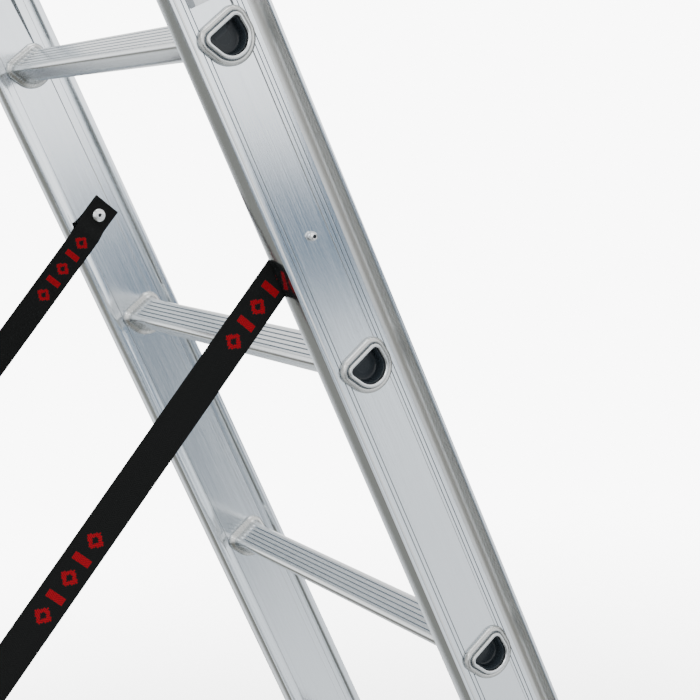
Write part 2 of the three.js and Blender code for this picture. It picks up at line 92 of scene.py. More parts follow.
# shape is (verts, faces, uvs) in one folded section, in millimetres
def makePiece(name, shape, materials, sign, angle=35.0, slots=None):
    verts, faces, uvs = shape
    mesh = bpy.data.meshes.new(name)
    place = leanMatrix(sign)
    mesh.from_pydata([place @ (Vector(v) * mm) for v in verts], [], faces)
    for material in materials:
        mesh.materials.append(material)
    if slots:
        mesh.polygons.foreach_set("material_index", slots)
    layer = mesh.uv_layers.new(name="run")
    for poly in mesh.polygons:
        for loopIndex, corner in zip(poly.loop_indices, uvs[poly.index]):
            layer.data[loopIndex].uv = corner
    mesh.validate()
    mesh.update()
    mesh.polygons.foreach_set("use_smooth", [True] * len(mesh.polygons))
    mesh.set_sharp_from_angle(angle=math.radians(angle))
    piece = bpy.data.objects.new(name, mesh)
    bpy.context.scene.collection.objects.link(piece)
    return piece


def mirrored(verts, faces, uvs):
    flipped = [(-v[0], v[1], v[2]) for v in verts]
    return flipped, [tuple(reversed(f)) for f in faces], [list(reversed(c)) for c in uvs]


def settle(piece, body, slotName, *nodes):
    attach(piece, body)
    if nodes:
        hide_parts(*nodes)
    return piece


# quads between neighbouring rings of count points, with their ring and point indices
def ringQuads(bands, count, base=0):
    for j in range(bands):
        for i in range(count):
            k = (i + 1) % count
            a, b = base + j * count + i, base + j * count + k
            yield j, i, k, (a, b, b + count, a + count)


def endFaces(bands, count):
    last = bands * count
    return [tuple(reversed(range(count))), tuple(range(last, last + count))]


def sideUvs(verts, faces):
    return [[(verts[i][1] * mm, verts[i][2] * mm) for i in face] for face in faces]


def gridUv(u0, u1, v0, v1):
    return [(u0, v0), (u1, v0), (u1, v1), (u0, v1)]


def lengthsAlong(points):
    lengths = [0.0]
    for (a0, b0), (a1, b1) in zip(points, points[1:]):
        lengths.append(lengths[-1] + math.hypot(a1 - a0, b1 - b0))
    return lengths


def turned(a, b, angle):
    return a * math.cos(angle) - b * math.sin(angle), a * math.sin(angle) + b * math.cos(angle)


# turned piece along X from (x, radius) pairs; a point on the axis keeps the least radius
def lathe(profile, y, z, count=48, least=0.02):
    verts = []
    for x, radius in profile:
        for i in range(count):
            a, b = circlePoint(max(radius, least), i, count)
            verts.append((x, y + a, z + b))
    bands = len(profile) - 1
    faces = [(a, d, c, b) for j, i, k, (a, b, c, d) in ringQuads(bands, count)]
    faces += [tuple(reversed(face)) for face in endFaces(bands, count)]
    return verts, faces, sideUvs(verts, faces)


def circlePoint(radius, i, count):
    angle = 2 * math.pi * i / count
    return radius * math.cos(angle), radius * math.sin(angle)


def circle(a, b, radius, count=32):
    return [(a + x, b + y) for x, y in (circlePoint(radius, i, count) for i in range(count))]


def joinMeshes(parts):
    verts, faces, uvs = [], [], []
    for partVerts, partFaces, partUvs in parts:
        base = len(verts)
        verts.extend(partVerts)
        faces.extend([tuple(i + base for i in f) for f in partFaces])
        uvs.extend(partUvs)
    return verts, faces, uvs


# ---- materials ----

def newGroup(name, inputs, outputs):
    group = bpy.data.node_groups.new(name, "ShaderNodeTree")
    for label, kind, value in inputs:
        socket = group.interface.new_socket(label, in_out="INPUT", socket_type=kind)
        if value is not None:
            socket.default_value = value
    for label, kind in outputs:
        group.interface.new_socket(label, in_out="OUTPUT", socket_type=kind)
    return group, group.nodes.new("NodeGroupInput"), group.nodes.new("NodeGroupOutput")


def mathNode(tree, operation, a, b=None, clamp=False):
    node = tree.nodes.new("ShaderNodeMath")
    node.operation = operation
    node.use_clamp = clamp
    for i, value in enumerate((a, b)):
        if value is None:
            continue
        if isinstance(value, (int, float)):
            node.inputs[i].default_value = value
        else:
            tree.links.new(value, node.inputs[i])
    return node.outputs[0]


def times(tree, a, b, clamp=False):
    return mathNode(tree, "MULTIPLY", a, b, clamp)


def plus(tree, a, b, clamp=False):
    return mathNode(tree, "ADD", a, b, clamp)


def minus(tree, a, b):
    return mathNode(tree, "SUBTRACT", a, b)


def over(tree, a, b):
    return mathNode(tree, "DIVIDE", a, b)


def sizeOf(tree, a):
    return mathNode(tree, "ABSOLUTE", a)


def noiseNode(tree, vector, detail, rough=0.5):
    node = tree.nodes.new("ShaderNodeTexNoise")
    node.inputs["Scale"].default_value = 1.0
    node.inputs["Detail"].default_value = detail
    node.inputs["Roughness"].default_value = rough
    tree.links.new(vector, node.inputs["Vector"])
    return node.outputs["Fac"]


def scaled(tree, vector, factors):
    node = tree.nodes.new("ShaderNodeVectorMath")
    node.operation = "MULTIPLY"
    tree.links.new(vector, node.inputs[0])
    node.inputs[1].default_value = factors
    return node.outputs[0]


# die lines of an extrusion: fine streaks along the run, with a slow drift and faint scuffs
def buildExtrusionGroup():
    group, gIn, gOut = newGroup(
        "extrusionLines",
        [("Run", "NodeSocketVector", None), ("Fine", "NodeSocketFloat", 1.0)],
        [("Streak", "NodeSocketFloat"), ("Drift", "NodeSocketFloat"), ("Scuff", "NodeSocketFloat")],
    )
    run = gIn.outputs["Run"]
    fine = noiseNode(group, scaled(group, run, (2600.0, 5.0, 1.0)), 3.0, 0.6)
    broad = noiseNode(group, scaled(group, run, (420.0, 1.6, 1.0)), 2.0)
    streak = plus(group, times(group, fine, 0.6), times(group, broad, 0.4))
    streak = times(group, minus(group, streak, 0.5), gIn.outputs["Fine"])
    drift = noiseNode(group, scaled(group, run, (9.0, 3.0, 1.0)), 3.0)
    scuffField = noiseNode(group, scaled(group, run, (150.0, 60.0, 1.0)), 5.0, 0.7)
    scuff = times(group, minus(group, scuffField, 0.62), 6.0, clamp=True)
    group.links.new(streak, gOut.inputs["Streak"])
    group.links.new(drift, gOut.inputs["Drift"])
    group.links.new(scuff, gOut.inputs["Scuff"])
    return group


extrusionGroup = buildExtrusionGroup()


# fine moulded or cast skin, from object position
def buildGrainGroup():
    group, gIn, gOut = newGroup(
        "surfaceGrain",
        [("Scale", "NodeSocketFloat", 900.0), ("Cloud", "NodeSocketFloat", 30.0)],
        [("Grain", "NodeSocketFloat"), ("Cloud", "NodeSocketFloat")],
    )
    place = group.nodes.new("ShaderNodeTexCoord").outputs["Object"]
    for label, detail in (("Grain", 3.0), ("Cloud", 4.0)):
        node = group.nodes.new("ShaderNodeTexNoise")
        node.inputs["Detail"].default_value = detail
        group.links.new(place, node.inputs["Vector"])
        source = "Scale" if label == "Grain" else "Cloud"
        group.links.new(gIn.outputs[source], node.inputs["Scale"])
        group.links.new(node.outputs["Fac"], gOut.inputs[label])
    return group


grainGroup = buildGrainGroup()


# bright worn corners, found from the bevelled normal
def buildEdgeGroup():
    group, gIn, gOut = newGroup(
        "edgeWear",
        [("Width", "NodeSocketFloat", 0.0008), ("Amount", "NodeSocketFloat", 1.0)],
        [("Edge", "NodeSocketFloat")],
    )
    bevel = group.nodes.new("ShaderNodeBevel")
    bevel.samples = 4
    group.links.new(gIn.outputs["Width"], bevel.inputs["Radius"])
    geometry = group.nodes.new("ShaderNodeNewGeometry")
    dot = group.nodes.new("ShaderNodeVectorMath")
    dot.operation = "DOT_PRODUCT"
    group.links.new(bevel.outputs["Normal"], dot.inputs[0])
    group.links.new(geometry.outputs["Normal"], dot.inputs[1])
    edge = minus(group, 1.0, dot.outputs["Value"])
    edge = times(group, edge, 6.0, clamp=True)
    edge = times(group, edge, gIn.outputs["Amount"], clamp=True)
    group.links.new(edge, gOut.inputs["Edge"])
    return group


edgeGroup = buildEdgeGroup()


def startMaterial(name, roughness, metallic):
    material = bpy.data.materials.new(name)
    material.use_nodes = True
    tree = material.node_tree
    shader = tree.nodes["Principled BSDF"]
    shader.inputs["Roughness"].default_value = roughness
    shader.inputs["Metallic"].default_value = metallic
    return material, tree, shader


def placeGroup(tree, group, values):
    node = tree.nodes.new("ShaderNodeGroup")
    node.node_tree = group
    for label, value in values.items():
        node.inputs[label].default_value = value
    return node


def mixColour(tree, factor, first, second):
    node = tree.nodes.new("ShaderNodeMix")
    node.data_type = "RGBA"
    if isinstance(factor, (int, float)):
        node.inputs["Factor"].default_value = factor
    else:
        tree.links.new(factor, node.inputs["Factor"])
    for label, value in (("A", first), ("B", second)):
        socket = [s for s in node.inputs if s.name == label and s.type == "RGBA"][0]
        if isinstance(value, tuple):
            socket.default_value = (*value, 1.0)
        else:
            tree.links.new(value, socket)
    return [s for s in node.outputs if s.type == "RGBA"][0]


def bumpNode(tree, height, strength, distance, shader):
    node = tree.nodes.new("ShaderNodeBump")
    node.inputs["Strength"].default_value = strength
    node.inputs["Distance"].default_value = distance
    tree.links.new(height, node.inputs["Height"])
    tree.links.new(node.outputs["Normal"], shader.inputs["Normal"])


def spanned(tree, value, low, high, start=0.0, stop=1.0, smooth=False):
    node = tree.nodes.new("ShaderNodeMapRange")
    if smooth:
        node.interpolation_type = "SMOOTHSTEP"
    for label, number in (("From Min", start), ("From Max", stop), ("To Min", low), ("To Max", high)):
        node.inputs[label].default_value = number
    tree.links.new(value, node.inputs["Value"])
    return node.outputs["Result"]


def extrudedAluminium(name, values):
    material, tree, shader = startMaterial(name, values["roughness"], 1.0)
    uv = tree.nodes.new("ShaderNodeUVMap")
    uv.uv_map = "run"
    lines = placeGroup(tree, extrusionGroup, {"Fine": values["fine"]})
    tree.links.new(uv.outputs["UV"], lines.inputs["Run"])
    base = mixColour(tree, lines.outputs["Drift"], values["dark"], values["light"])
    edge = placeGroup(tree, edgeGroup, {"Width": values["edgeWidth"], "Amount": values["edgeAmount"]})
    worn = mixColour(tree, edge.outputs["Edge"], base, values["worn"])
    streaked = mixColour(tree, spanned(tree, lines.outputs["Streak"], 0.0, 0.16), worn, values["streak"])
    tree.links.new(streaked, shader.inputs["Base Color"])
    rough = plus(tree, values["roughness"], times(tree, lines.outputs["Streak"], 0.35))
    rough = plus(tree, rough, times(tree, lines.outputs["Scuff"], 0.08), clamp=True)
    tree.links.new(rough, shader.inputs["Roughness"])
    bumpNode(tree, lines.outputs["Streak"], values["bump"], 0.0004, shader)
    return material


def mouldedPlastic(name, values):
    material, tree, shader = startMaterial(name, values["roughness"], 0.0)
    grain = placeGroup(tree, grainGroup, {"Scale": values["grainScale"], "Cloud": values["cloudScale"]})
    edge = placeGroup(tree, edgeGroup, {"Width": 0.0007, "Amount": values["edgeAmount"]})
    base = mixColour(tree, grain.outputs["Cloud"], values["dark"], values["light"])
    tree.links.new(mixColour(tree, edge.outputs["Edge"], base, values["worn"]), shader.inputs["Base Color"])
    shader.inputs["Specular IOR Level"].default_value = values["sheen"]
    rough = spanned(tree, grain.outputs["Cloud"], values["roughness"] - 0.06, values["roughness"] + 0.08)
    tree.links.new(rough, shader.inputs["Roughness"])
    bumpNode(tree, grain.outputs["Grain"], values["bump"], 0.0003, shader)
    return material


def platedSteel(name, values):
    material, tree, shader = startMaterial(name, values["roughness"], 1.0)
    grain = placeGroup(tree, grainGroup, {"Scale": values["grainScale"], "Cloud": values["cloudScale"]})
    edge = placeGroup(tree, edgeGroup, {"Width": 0.0006, "Amount": 0.8})
    base = mixColour(tree, grain.outputs["Cloud"], values["dark"], values["light"])
    tree.links.new(mixColour(tree, edge.outputs["Edge"], base, values["worn"]), shader.inputs["Base Color"])
    rough = spanned(tree, grain.outputs["Cloud"], values["roughness"] - 0.07, values["roughness"] + 0.1)
    tree.links.new(rough, shader.inputs["Roughness"])
    bumpNode(tree, grain.outputs["Grain"], 0.12, 0.0002, shader)
    return material


stileAluminium = extrudedAluminium("stileAluminium", {
    "roughness": 0.13, "fine": 0.8, "bump": 0.16, "edgeWidth": 0.0006, "edgeAmount": 0.6,
    "dark": (0.66, 0.70, 0.73), "light": (0.76, 0.79, 0.82),
    "worn": (0.92, 0.93, 0.94), "streak": (0.56, 0.62, 0.68),
})
# darker, duller copy of the stile metal for the inner sides of the flanges: painted shade
flangeShadedAluminium = extrudedAluminium("flangeShadedAluminium", {
    "roughness": 0.34, "fine": 0.5, "bump": 0.05, "edgeWidth": 0.0004, "edgeAmount": 0.3,
    "dark": (0.62, 0.63, 0.63), "light": (0.74, 0.74, 0.73),
    "worn": (0.84, 0.84, 0.83), "streak": (0.56, 0.57, 0.58),
})
# darker copy of the rung metal for the beads at the rung ends: painted shade
collarShadedAluminium = extrudedAluminium("collarShadedAluminium", {
    "roughness": 0.27, "fine": 0.8, "bump": 0.12, "edgeWidth": 0.0005, "edgeAmount": 0.5,
    "dark": (0.44, 0.45, 0.44), "light": (0.58, 0.58, 0.57),
    "worn": (0.86, 0.86, 0.85), "streak": (0.38, 0.39, 0.40),
})
rungAluminium = extrudedAluminium("rungAluminium", {
    "roughness": 0.22, "fine": 0.8, "bump": 0.12, "edgeWidth": 0.0005, "edgeAmount": 0.5,
    "dark": (0.54, 0.56, 0.57), "light": (0.66, 0.67, 0.67),
    "worn": (0.93, 0.94, 0.94), "streak": (0.58, 0.62, 0.66),
})
# dark copy of the metal for grooves, creases and the inner edge of each lip: painted shade
paintedShadeAluminium = extrudedAluminium("paintedShadeAluminium", {
    "roughness": 0.38, "fine": 0.8, "bump": 0.10, "edgeWidth": 0.0003, "edgeAmount": 0.2,
    "dark": (0.24, 0.28, 0.32), "light": (0.34, 0.38, 0.42),
    "worn": (0.60, 0.62, 0.64), "streak": (0.20, 0.24, 0.28),
})
plugPlastic = mouldedPlastic("plugPlastic", {
    "sheen": 0.22, "roughness": 0.22, "grainScale": 700.0, "cloudScale": 60.0,
    "edgeAmount": 0.25, "bump": 0.05,
    "dark": (0.010, 0.014, 0.018), "light": (0.022, 0.028, 0.034), "worn": (0.05, 0.06, 0.07),
})
capPlastic = mouldedPlastic("capPlastic", {
    "sheen": 0.5, "roughness": 0.42, "grainScale": 1300.0, "cloudScale": 24.0,
    "edgeAmount": 0.4, "bump": 0.25,
    "dark": (0.006, 0.009, 0.012), "light": (0.013, 0.019, 0.024), "worn": (0.055, 0.066, 0.074),
})
footRubber = mouldedPlastic("footRubber", {
    "sheen": 0.5, "roughness": 0.62, "grainScale": 900.0, "cloudScale": 18.0,
    "edgeAmount": 0.5, "bump": 0.4,
    "dark": (0.014, 0.014, 0.015), "light": (0.032, 0.032, 0.034), "worn": (0.075, 0.074, 0.072),
})
zincSteel = platedSteel("zincSteel", {
    "roughness": 0.33, "grainScale": 500.0, "cloudScale": 26.0,
    "dark": (0.48, 0.49, 0.50), "light": (0.62, 0.63, 0.64), "worn": (0.82, 0.83, 0.84),
})
rivetSteel = platedSteel("rivetSteel", {
    "roughness": 0.24, "grainScale": 800.0, "cloudScale": 90.0,
    "dark": (0.60, 0.61, 0.62), "light": (0.74, 0.75, 0.76), "worn": (0.90, 0.90, 0.91),
})
print("materials ready")

# ---- stiles ----

stileShape = {
    "lipThickness": 3.3,
    "cornerRise": 6.7,
    "cornerRun": 8.0,
    "railThickness": 7.6,
    "grooves": (19.0, 22.5),     # fine grooves along the web, from its middle
    "innerGroove": 23.2,
    "grooveWidth": 0.9,
    "grooveDepth": 0.6,
    "panel": 18.2,               # flat middle of the web, where the rungs go through
}


# half of the section outline on each face, from the lip or rail down to the flat panel
def stileHalves(panel):
    s = stileShape
    web = layout["webThickness"]
    inLip = half - s["lipThickness"]
    outer = [(lipTip - 0.7, half), (lipTip - 0.2, half - 0.2), (lipTip, half - 0.8)]
    outer += [(lipTip, inLip + 0.8), (lipTip - 0.2, inLip + 0.2), (lipTip - 0.8, inLip)]
    outer += [(lipTip - 3.4, inLip), (lipTip - 3.8, inLip - 0.35), (lipTip - 4.4, inLip - 0.4)]
    outer.append((web + s["cornerRise"] + 1.2, inLip - 0.4))
    for i in range(1, 8):
        angle = math.radians(90 * i / 8)
        w = web + (s["cornerRise"] + 1.2) * (1 - math.sin(angle))
        v = inLip - 0.4 - (s["cornerRun"] - 0.4) * (1 - math.cos(angle))
        outer.append((w, v))
    outer.append((web, inLip - s["cornerRun"]))
    for centre in reversed(s["grooves"]):
        if centre - s["grooveWidth"] / 2 > panel:
            outer += groove(centre, web, -s["grooveDepth"])
    outer.append((web, panel))
    reach = -layout["railReach"]
    inner = [(reach + 1.9, half), (reach + 0.9, half - 0.25), (reach + 0.25, half - 0.9),
             (reach, half - 1.9)]
    railIn = half - s["railThickness"]
    inner += [(reach, railIn + 1.9), (reach + 0.25, railIn + 0.9), (reach + 0.9, railIn + 0.25)]
    inner += [(reach + 1.9, railIn), (-0.9, railIn - 0.1), (-0.25, railIn - 0.35), (0, railIn - 1.0)]
    inner += groove(s["innerGroove"], 0.0, s["grooveDepth"])
    inner.append((0, panel))
    return outer, inner


def groove(centre, face, depth):
    width = stileShape["grooveWidth"] / 2
    return [(face, centre + width), (face + depth, centre + width * 0.5),
            (face + depth, centre - width * 0.5), (face, centre - width)]


# points and outward directions of the rung outline about its middle, before the tilt
rungShape = {
    "leftCorner": (-10.8, 7.5, 4.5),   # middle along the tread, height, radius
    "rightCorner": (12.1, 7.5, 4.5),
    "belly": (1.2, 0.6, 14.4),
    "grooves": (-8.6, -3.9, 0.7, 5.3, 9.9),   # along the tread
    "grooveHalf": 0.75,
    "ribHeight": 1.0,
    "roundSteps": 84,
}


def rungOutline():
    left, belly, right = rungShape["leftCorner"], rungShape["belly"], rungShape["rightCorner"]
    points = []
    steps = rungShape["roundSteps"]
    for i in range(steps + 1):
        angle = math.pi / 2 + 2 * math.pi * i / steps
        n = (math.cos(angle), math.sin(angle))
        corner = left if i < steps / 2 else right
        bellyReach, cornerReach = [p[0] * n[0] + p[1] * n[1] + p[2] for p in (belly, corner)]
        best = belly if n[1] < 0 and bellyReach > cornerReach else corner
        points.append((best[0] + best[2] * n[0], best[1] + best[2] * n[1], n[0], n[1], 1.0))
    top = points[0][1]
    wide, narrow = rungShape["grooveHalf"], rungShape["grooveHalf"] * 0.45
    for centre in reversed(rungShape["grooves"]):
        for shift, rib in ((wide, 1.0), (narrow, 0.0), (-narrow, 0.0), (-wide, 1.0)):
            points.append((centre + shift, top, 0.0, 1.0, rib))
    return points


outlinePoints = rungOutline()


def rungRing(offset, ribAmount):
    tilt = math.radians(layout["treadTilt"])
    ring = []
    for t, d, nt, nd, rib in outlinePoints:
        lift = offset - ribAmount * rungShape["ribHeight"] * (1.0 - rib)
        along = t + nt * lift
        up = d + nd * lift
        ring.append(turned(along, up, tilt))
    return ring


# 1: groove faces and the inner edge of each lip, given a dark metal as painted shade; 2: inner sides of the
#    flanges, given a darker copy of the metal as painted shade
def faceSlot(first, second):
    w, v = (first[0] + second[0]) / 2, abs(first[1] + second[1]) / 2
    inLip = half - stileShape["lipThickness"]
    inGroove = 1.2 < w < layout["webThickness"] - 0.05 or 0.05 < w < 0.6 and v < stileShape["innerGroove"] + 1
    if inGroove or lipTip - 0.9 < w < lipTip - 0.05 and inLip - 0.1 < v < inLip + 0.75:
        return 1
    onFlange = layout["webThickness"] < w < lipTip - 0.9 and inLip - stileShape["cornerRun"] < v < inLip + 0.3
    return 2 if onFlange else 0


def stileMesh(section, extraHoles):
    place = sections[section]
    web = place["web"]
    # the flat panel reaches past every hole, so a hole near a groove takes the groove's place
    panel = max([stileShape["panel"]] + [abs(v) + radius + 0.8 for v, z, radius in extraHoles])
    outer, inner = stileHalves(panel)
    # two open runs round the section, joined by the flat panels of the web
    upperRun = list(reversed(outer)) + inner
    lowerRun = [(w, -v) for w, v in reversed(upperRun)]
    z0, z1 = place["bottom"], place["top"]
    verts, faces, uvs, slots = [], [], [], []
    rings = []
    for run in (upperRun, lowerRun):
        base = len(verts)
        lengths = lengthsAlong(run)
        for w, v in run:
            verts.append((web + w, place["plane"] + v, z0))
            verts.append((web + w, place["plane"] + v, z1))
        shift = 0.0 if run is upperRun else 0.4
        for i in range(len(run) - 1):
            a = base + 2 * i
            slots.append(faceSlot(run[i], run[i + 1]))
            faces.append((a, a + 1, a + 3, a + 2))
            u0, u1 = lengths[i] * mm + shift, lengths[i + 1] * mm + shift
            uvs.append([(u0, z0 * mm), (u0, z1 * mm), (u1, z1 * mm), (u1, z0 * mm)])
        rings.append([base + 2 * i for i in range(len(run))])
    # closed ends
    whole = rings[0] + rings[1]
    faces.append(tuple(reversed(whole)))
    faces.append(tuple(i + 1 for i in whole))
    for face in faces[-2:]:
        uvs.append([(verts[i][0] * mm, verts[i][1] * mm) for i in face])
    # flat panels with the holes for rungs and fixings
    holes = []
    for k in range(1, layout["rungCount"] + 1):
        ring = rungRing(0.25, 0.0)[::3]
        holes.append([(v, k * layout["rungPitch"] + u) for v, u in ring])
    for v, z, radius in extraHoles:
        holes.append(circle(v, z, radius, 20))
    border = [(-panel, z0), (panel, z0), (panel, z1), (-panel, z1)]
    loops = [[Vector((a, b, 0)) for a, b in loop] for loop in [border] + holes]
    flat = [point for loop in loops for point in loop]
    triangles = tessellate_polygon(loops)
    for depth, facing in ((layout["webThickness"], 1), (0.0, -1)):
        base = len(verts)
        verts.extend([(web + depth, place["plane"] + p.x, p.y) for p in flat])
        for tri in triangles:
            a, b, c = [flat[i] for i in tri]
            area = (b.x - a.x) * (c.y - a.y) - (b.y - a.y) * (c.x - a.x)
            order = tri if (area > 0) == (facing > 0) else tuple(reversed(tri))
            faces.append(tuple(i + base for i in order))
            uvs.append([((flat[i].x + 100) * mm, flat[i].y * mm) for i in order])
    count = len(flat)
    outerBase = len(verts) - 2 * count
    innerBase = len(verts) - count
    start = len(border)
    for loop in holes:
        size = len(loop)
        turn = sum(loop[i][0] * loop[(i + 1) % size][1] - loop[(i + 1) % size][0] * loop[i][1]
                   for i in range(size))
        for i in range(size):
            a, b = start + i, start + (i + 1) % size
            quad = (outerBase + a, outerBase + b, innerBase + b, innerBase + a)
            if turn > 0:
                quad = tuple(reversed(quad))
            faces.append(quad)
            uvs += sideUvs(verts, [quad])
        start += size
    return verts, faces, uvs, slots + [0] * (len(faces) - len(slots))


def addStiles(section, extraHoles):
    place = sections[section]
    *shape, slots = stileMesh(section, extraHoles)
    # the second and third looks are painted shade: dark metal in the grooves, a darker copy on the flanges
    looks = [stileAluminium, paintedShadeAluminium, flangeShadedAluminium]
    for side, parts in (("Right", shape), ("Left", mirrored(*shape))):
        piece = makePiece(f"{section}Stile{side}", parts, looks, place["sign"], 28.0, slots)
        settle(piece, place["body"], "aluminium", f"{section}_stile_{side.lower()}")


strapFacts = {
    "width": 29.0, "thickness": 1.6, "tail": 15.0, "drop": 26.2,
    "rearZ": 5 * layout["rungPitch"] - 163.0,
    "rearX": 234.6, "railX": 229.0, "frontX": 226.6,
}
strapSlope = math.tan(math.radians(strapFacts["drop"]))
strapFall = apexHeight - strapFacts["rearZ"]
openAngle = math.radians(2 * layout["lean"])
strapNarrowing = math.cos(openAngle) - strapSlope * math.sin(openAngle)
# down the front stile from the apex to the stud, and along the strap from rivet to stud
strapFront = (strapFall + strapSlope * layout["planeOffset"]) / strapNarrowing
strapFrontZ = apexHeight - strapFront
strapRun = layout["planeOffset"] + strapFront * math.sin(openAngle)
strapSpan = strapRun / math.cos(math.radians(strapFacts["drop"]))

hookPin = {"back": 16.0, "rise": 58.0, "radius": 4.0, "gap": 0.3}
hookPin["z"] = layout["rungPitch"] + hookPin["rise"]
holeRadius = {"rivet": 2.9, "bolt": 6.2, "stud": 5.3, "hook": hookPin["radius"] + hookPin["gap"]}
addStiles("rear", [(0.0, strapFacts["rearZ"], holeRadius["rivet"])])
addStiles("front", [(0.0, apexHeight, holeRadius["bolt"]), (0.0, strapFrontZ, holeRadius["stud"])])
addStiles("fly", [(hookPin["back"], hookPin["z"], holeRadius["hook"])])
print("stiles ready")

# ---- rungs ----

rungEnds = {
    # (beyond the web face, outward offset of the outline, rib amount)
    "outer": [(0.05, 0.2, 0), (0.05, 6.6, 0), (0.5, 7.0, 0), (1.6, 7.05, 0), (2.8, 6.7, 0), (3.8, 6.0, 0),
              (4.5, 5.1, 0), (4.75, 4.2, 0), (4.6, 3.4, 0), (4.1, 2.75, 0), (3.5, 2.4, 0), (3.7, 2.15, 0),
              (5.2, 2.05, 0), (6.3, 1.95, 0), (6.8, 1.6, 0), (7.0, 1.0, 0), (6.95, -0.1, 0), (6.6, -0.7, 0),
              (5.8, -1.05, 0), (4.5, -1.15, 0), (-2.0, -1.2, 0), (-14.0, -1.2, 0)],
    "inner": [(0.05, 0.2, 0), (0.05, 6.6, 0), (0.5, 7.0, 0), (1.6, 7.05, 0), (2.9, 6.7, 0), (3.9, 5.9, 0),
              (4.6, 4.9, 0), (5.0, 3.9, 0), (5.5, 3.1, 0), (6.6, 2.5, 0), (8.6, 1.9, 0), (11.5, 1.2, 0.1),
              (15.0, 0.6, 0.35), (20.0, 0.2, 0.75), (26.0, 0.0, 1.0)],
}


def rungMesh(web, plane, z):
    stations = []
    faceOut = web + layout["webThickness"]
    for reach, offset, rib in reversed(rungEnds["outer"]):
        stations.append((faceOut + reach, offset, rib))
    for reach, offset, rib in rungEnds["inner"]:
        stations.append((web - reach, offset, rib))
    full = stations + [(-x, offset, rib) for x, offset, rib in reversed(stations)]
    verts, faces, uvs = [], [], []
    count = len(outlinePoints)
    base = rungRing(0.0, 0.0)
    around = lengthsAlong(base + base[:1])
    runLength = lengthsAlong([(x, offset) for x, offset, rib in full])
    for x, offset, rib in full:
        for v, u in rungRing(offset, rib):
            verts.append((x, plane + v, z + u))
    # slot 1, the creases beside the beads and the tread grooves, takes the dark metal as painted shade; slot
    # 2, the beads, takes a darker copy of the metal as painted shade
    ringSlots, ribbed = [], []
    for (x0, near, rib0), (x1, far, rib1) in zip(full, full[1:]):
        near, far = sorted((near, far))
        ribbed.append(min(rib0, rib1) > 0.3)
        outside = min(abs(x0), abs(x1)) > faceOut
        inCrease = near > 6.5 and far < 7.02 or outside and near > 2.1 and far < 2.8
        ringSlots.append(1 if inCrease else 2 if near > 1.0 else 0)
    slots = []
    for j, i, k, quad in ringQuads(len(full) - 1, count):
        inGroove = ribbed[j] and outlinePoints[i][4] * outlinePoints[k][4] == 0
        slots.append(1 if inGroove else ringSlots[j])
        faces.append(quad)
        v0, v1 = [runLength[m] * mm + z * mm for m in (j, j + 1)]
        uvs.append(gridUv(around[i] * mm, around[i + 1] * mm, v0, v1))
    # inside ends, hidden behind the plugs
    ends = endFaces(len(full) - 1, count)
    return verts, faces + ends, uvs + sideUvs(verts, ends), slots + [0, 0]


def plugMesh(web, plane, z):
    # (beyond the web face, outward offset of the outline)
    profile = [(3.6, -1.26), (3.8, -1.4), (3.8, -1.8), (3.5, -2.05), (-4.2, -2.2), (-5.4, -2.35),
               (-6.3, -2.75), (-6.8, -3.4), (-6.95, -4.4), (-7.0, -9.0)]
    count = len(outlinePoints)
    bands = len(profile) - 1
    verts = []
    for reach, offset in profile:
        for v, u in rungRing(offset, 0.0):
            verts.append((web + layout["webThickness"] + reach, plane + v, z + u))
    faces = [(a, d, c, b) for j, i, k, (a, b, c, d) in ringQuads(bands, count)]
    faces.append(endFaces(bands, count)[1])
    return verts, faces, sideUvs(verts, faces)


for sectionName, place in sections.items():
    plugs = []
    for k in range(1, layout["rungCount"] + 1):
        z = k * layout["rungPitch"]
        *shape, slots = rungMesh(place["web"], place["plane"], z)
        # the second and third looks are painted shade in grooves and creases and on the beads
        looks = [rungAluminium, paintedShadeAluminium, collarShadedAluminium]
        rung = makePiece(f"{sectionName}Rung{k}", shape, looks, place["sign"], 40.0, slots)
        settle(rung, place["body"], "aluminium", f"{sectionName}_rung_{k}")
        plug = plugMesh(place["web"], place["plane"], z)
        plugs += [plug, mirrored(*plug)]
    plugPiece = makePiece(f"{sectionName}RungPlugs", joinMeshes(plugs), [plugPlastic], place["sign"], 50.0)
    settle(plugPiece, place["body"], "rubber")
print("rungs ready")

# ---- shared builders for the smaller pieces ----

def offsetLoop(loop, distance):
    # moves each point of a counter-clockwise loop inwards by distance
    out = []
    count = len(loop)
    for i in range(count):
        before, here, after = Vector(loop[i - 1]), Vector(loop[i]), Vector(loop[(i + 1) % count])
        first, second = (here - before).normalized(), (after - here).normalized()
        n1, n2 = Vector((-first.y, first.x)), Vector((-second.y, second.x))
        bisector = n1 + n2
        scale = distance / max(0.35, bisector.length_squared / 2)
        moved = here + bisector * scale
        out.append((moved.x, moved.y))
    return out


def roundCorners(points, radius, steps=5):
    # radius is one number, or one for each corner
    out = []
    count = len(points)
    for i in range(count):
        here = Vector(points[i])
        size = radius[i] if isinstance(radius, (list, tuple)) else radius
        a, b = Vector(points[i - 1]) - here, Vector(points[(i + 1) % count]) - here
        bend = a.angle(b)
        cut = size / math.tan(bend / 2) if bend < 3.13 else 0
        cut = min(cut, a.length * 0.48, b.length * 0.48)
        if cut < 0.02:
            out.append(tuple(here))
            continue
        start, stop = here + a.normalized() * cut, here + b.normalized() * cut
        for k in range(steps + 1):
            t = k / steps
            point = start * (1 - t) ** 2 + here * 2 * t * (1 - t) + stop * t ** 2
            out.append((point.x, point.y))
    return out


def rectangle(a0, a1, b0, b1, radius, steps=5):
    return roundCorners([(a0, b0), (a1, b0), (a1, b1), (a0, b1)], radius, steps)


def alongX(a, b, t):
    return (t, a, b)


def alongZ(a, b, t):
    return (a, b, t)


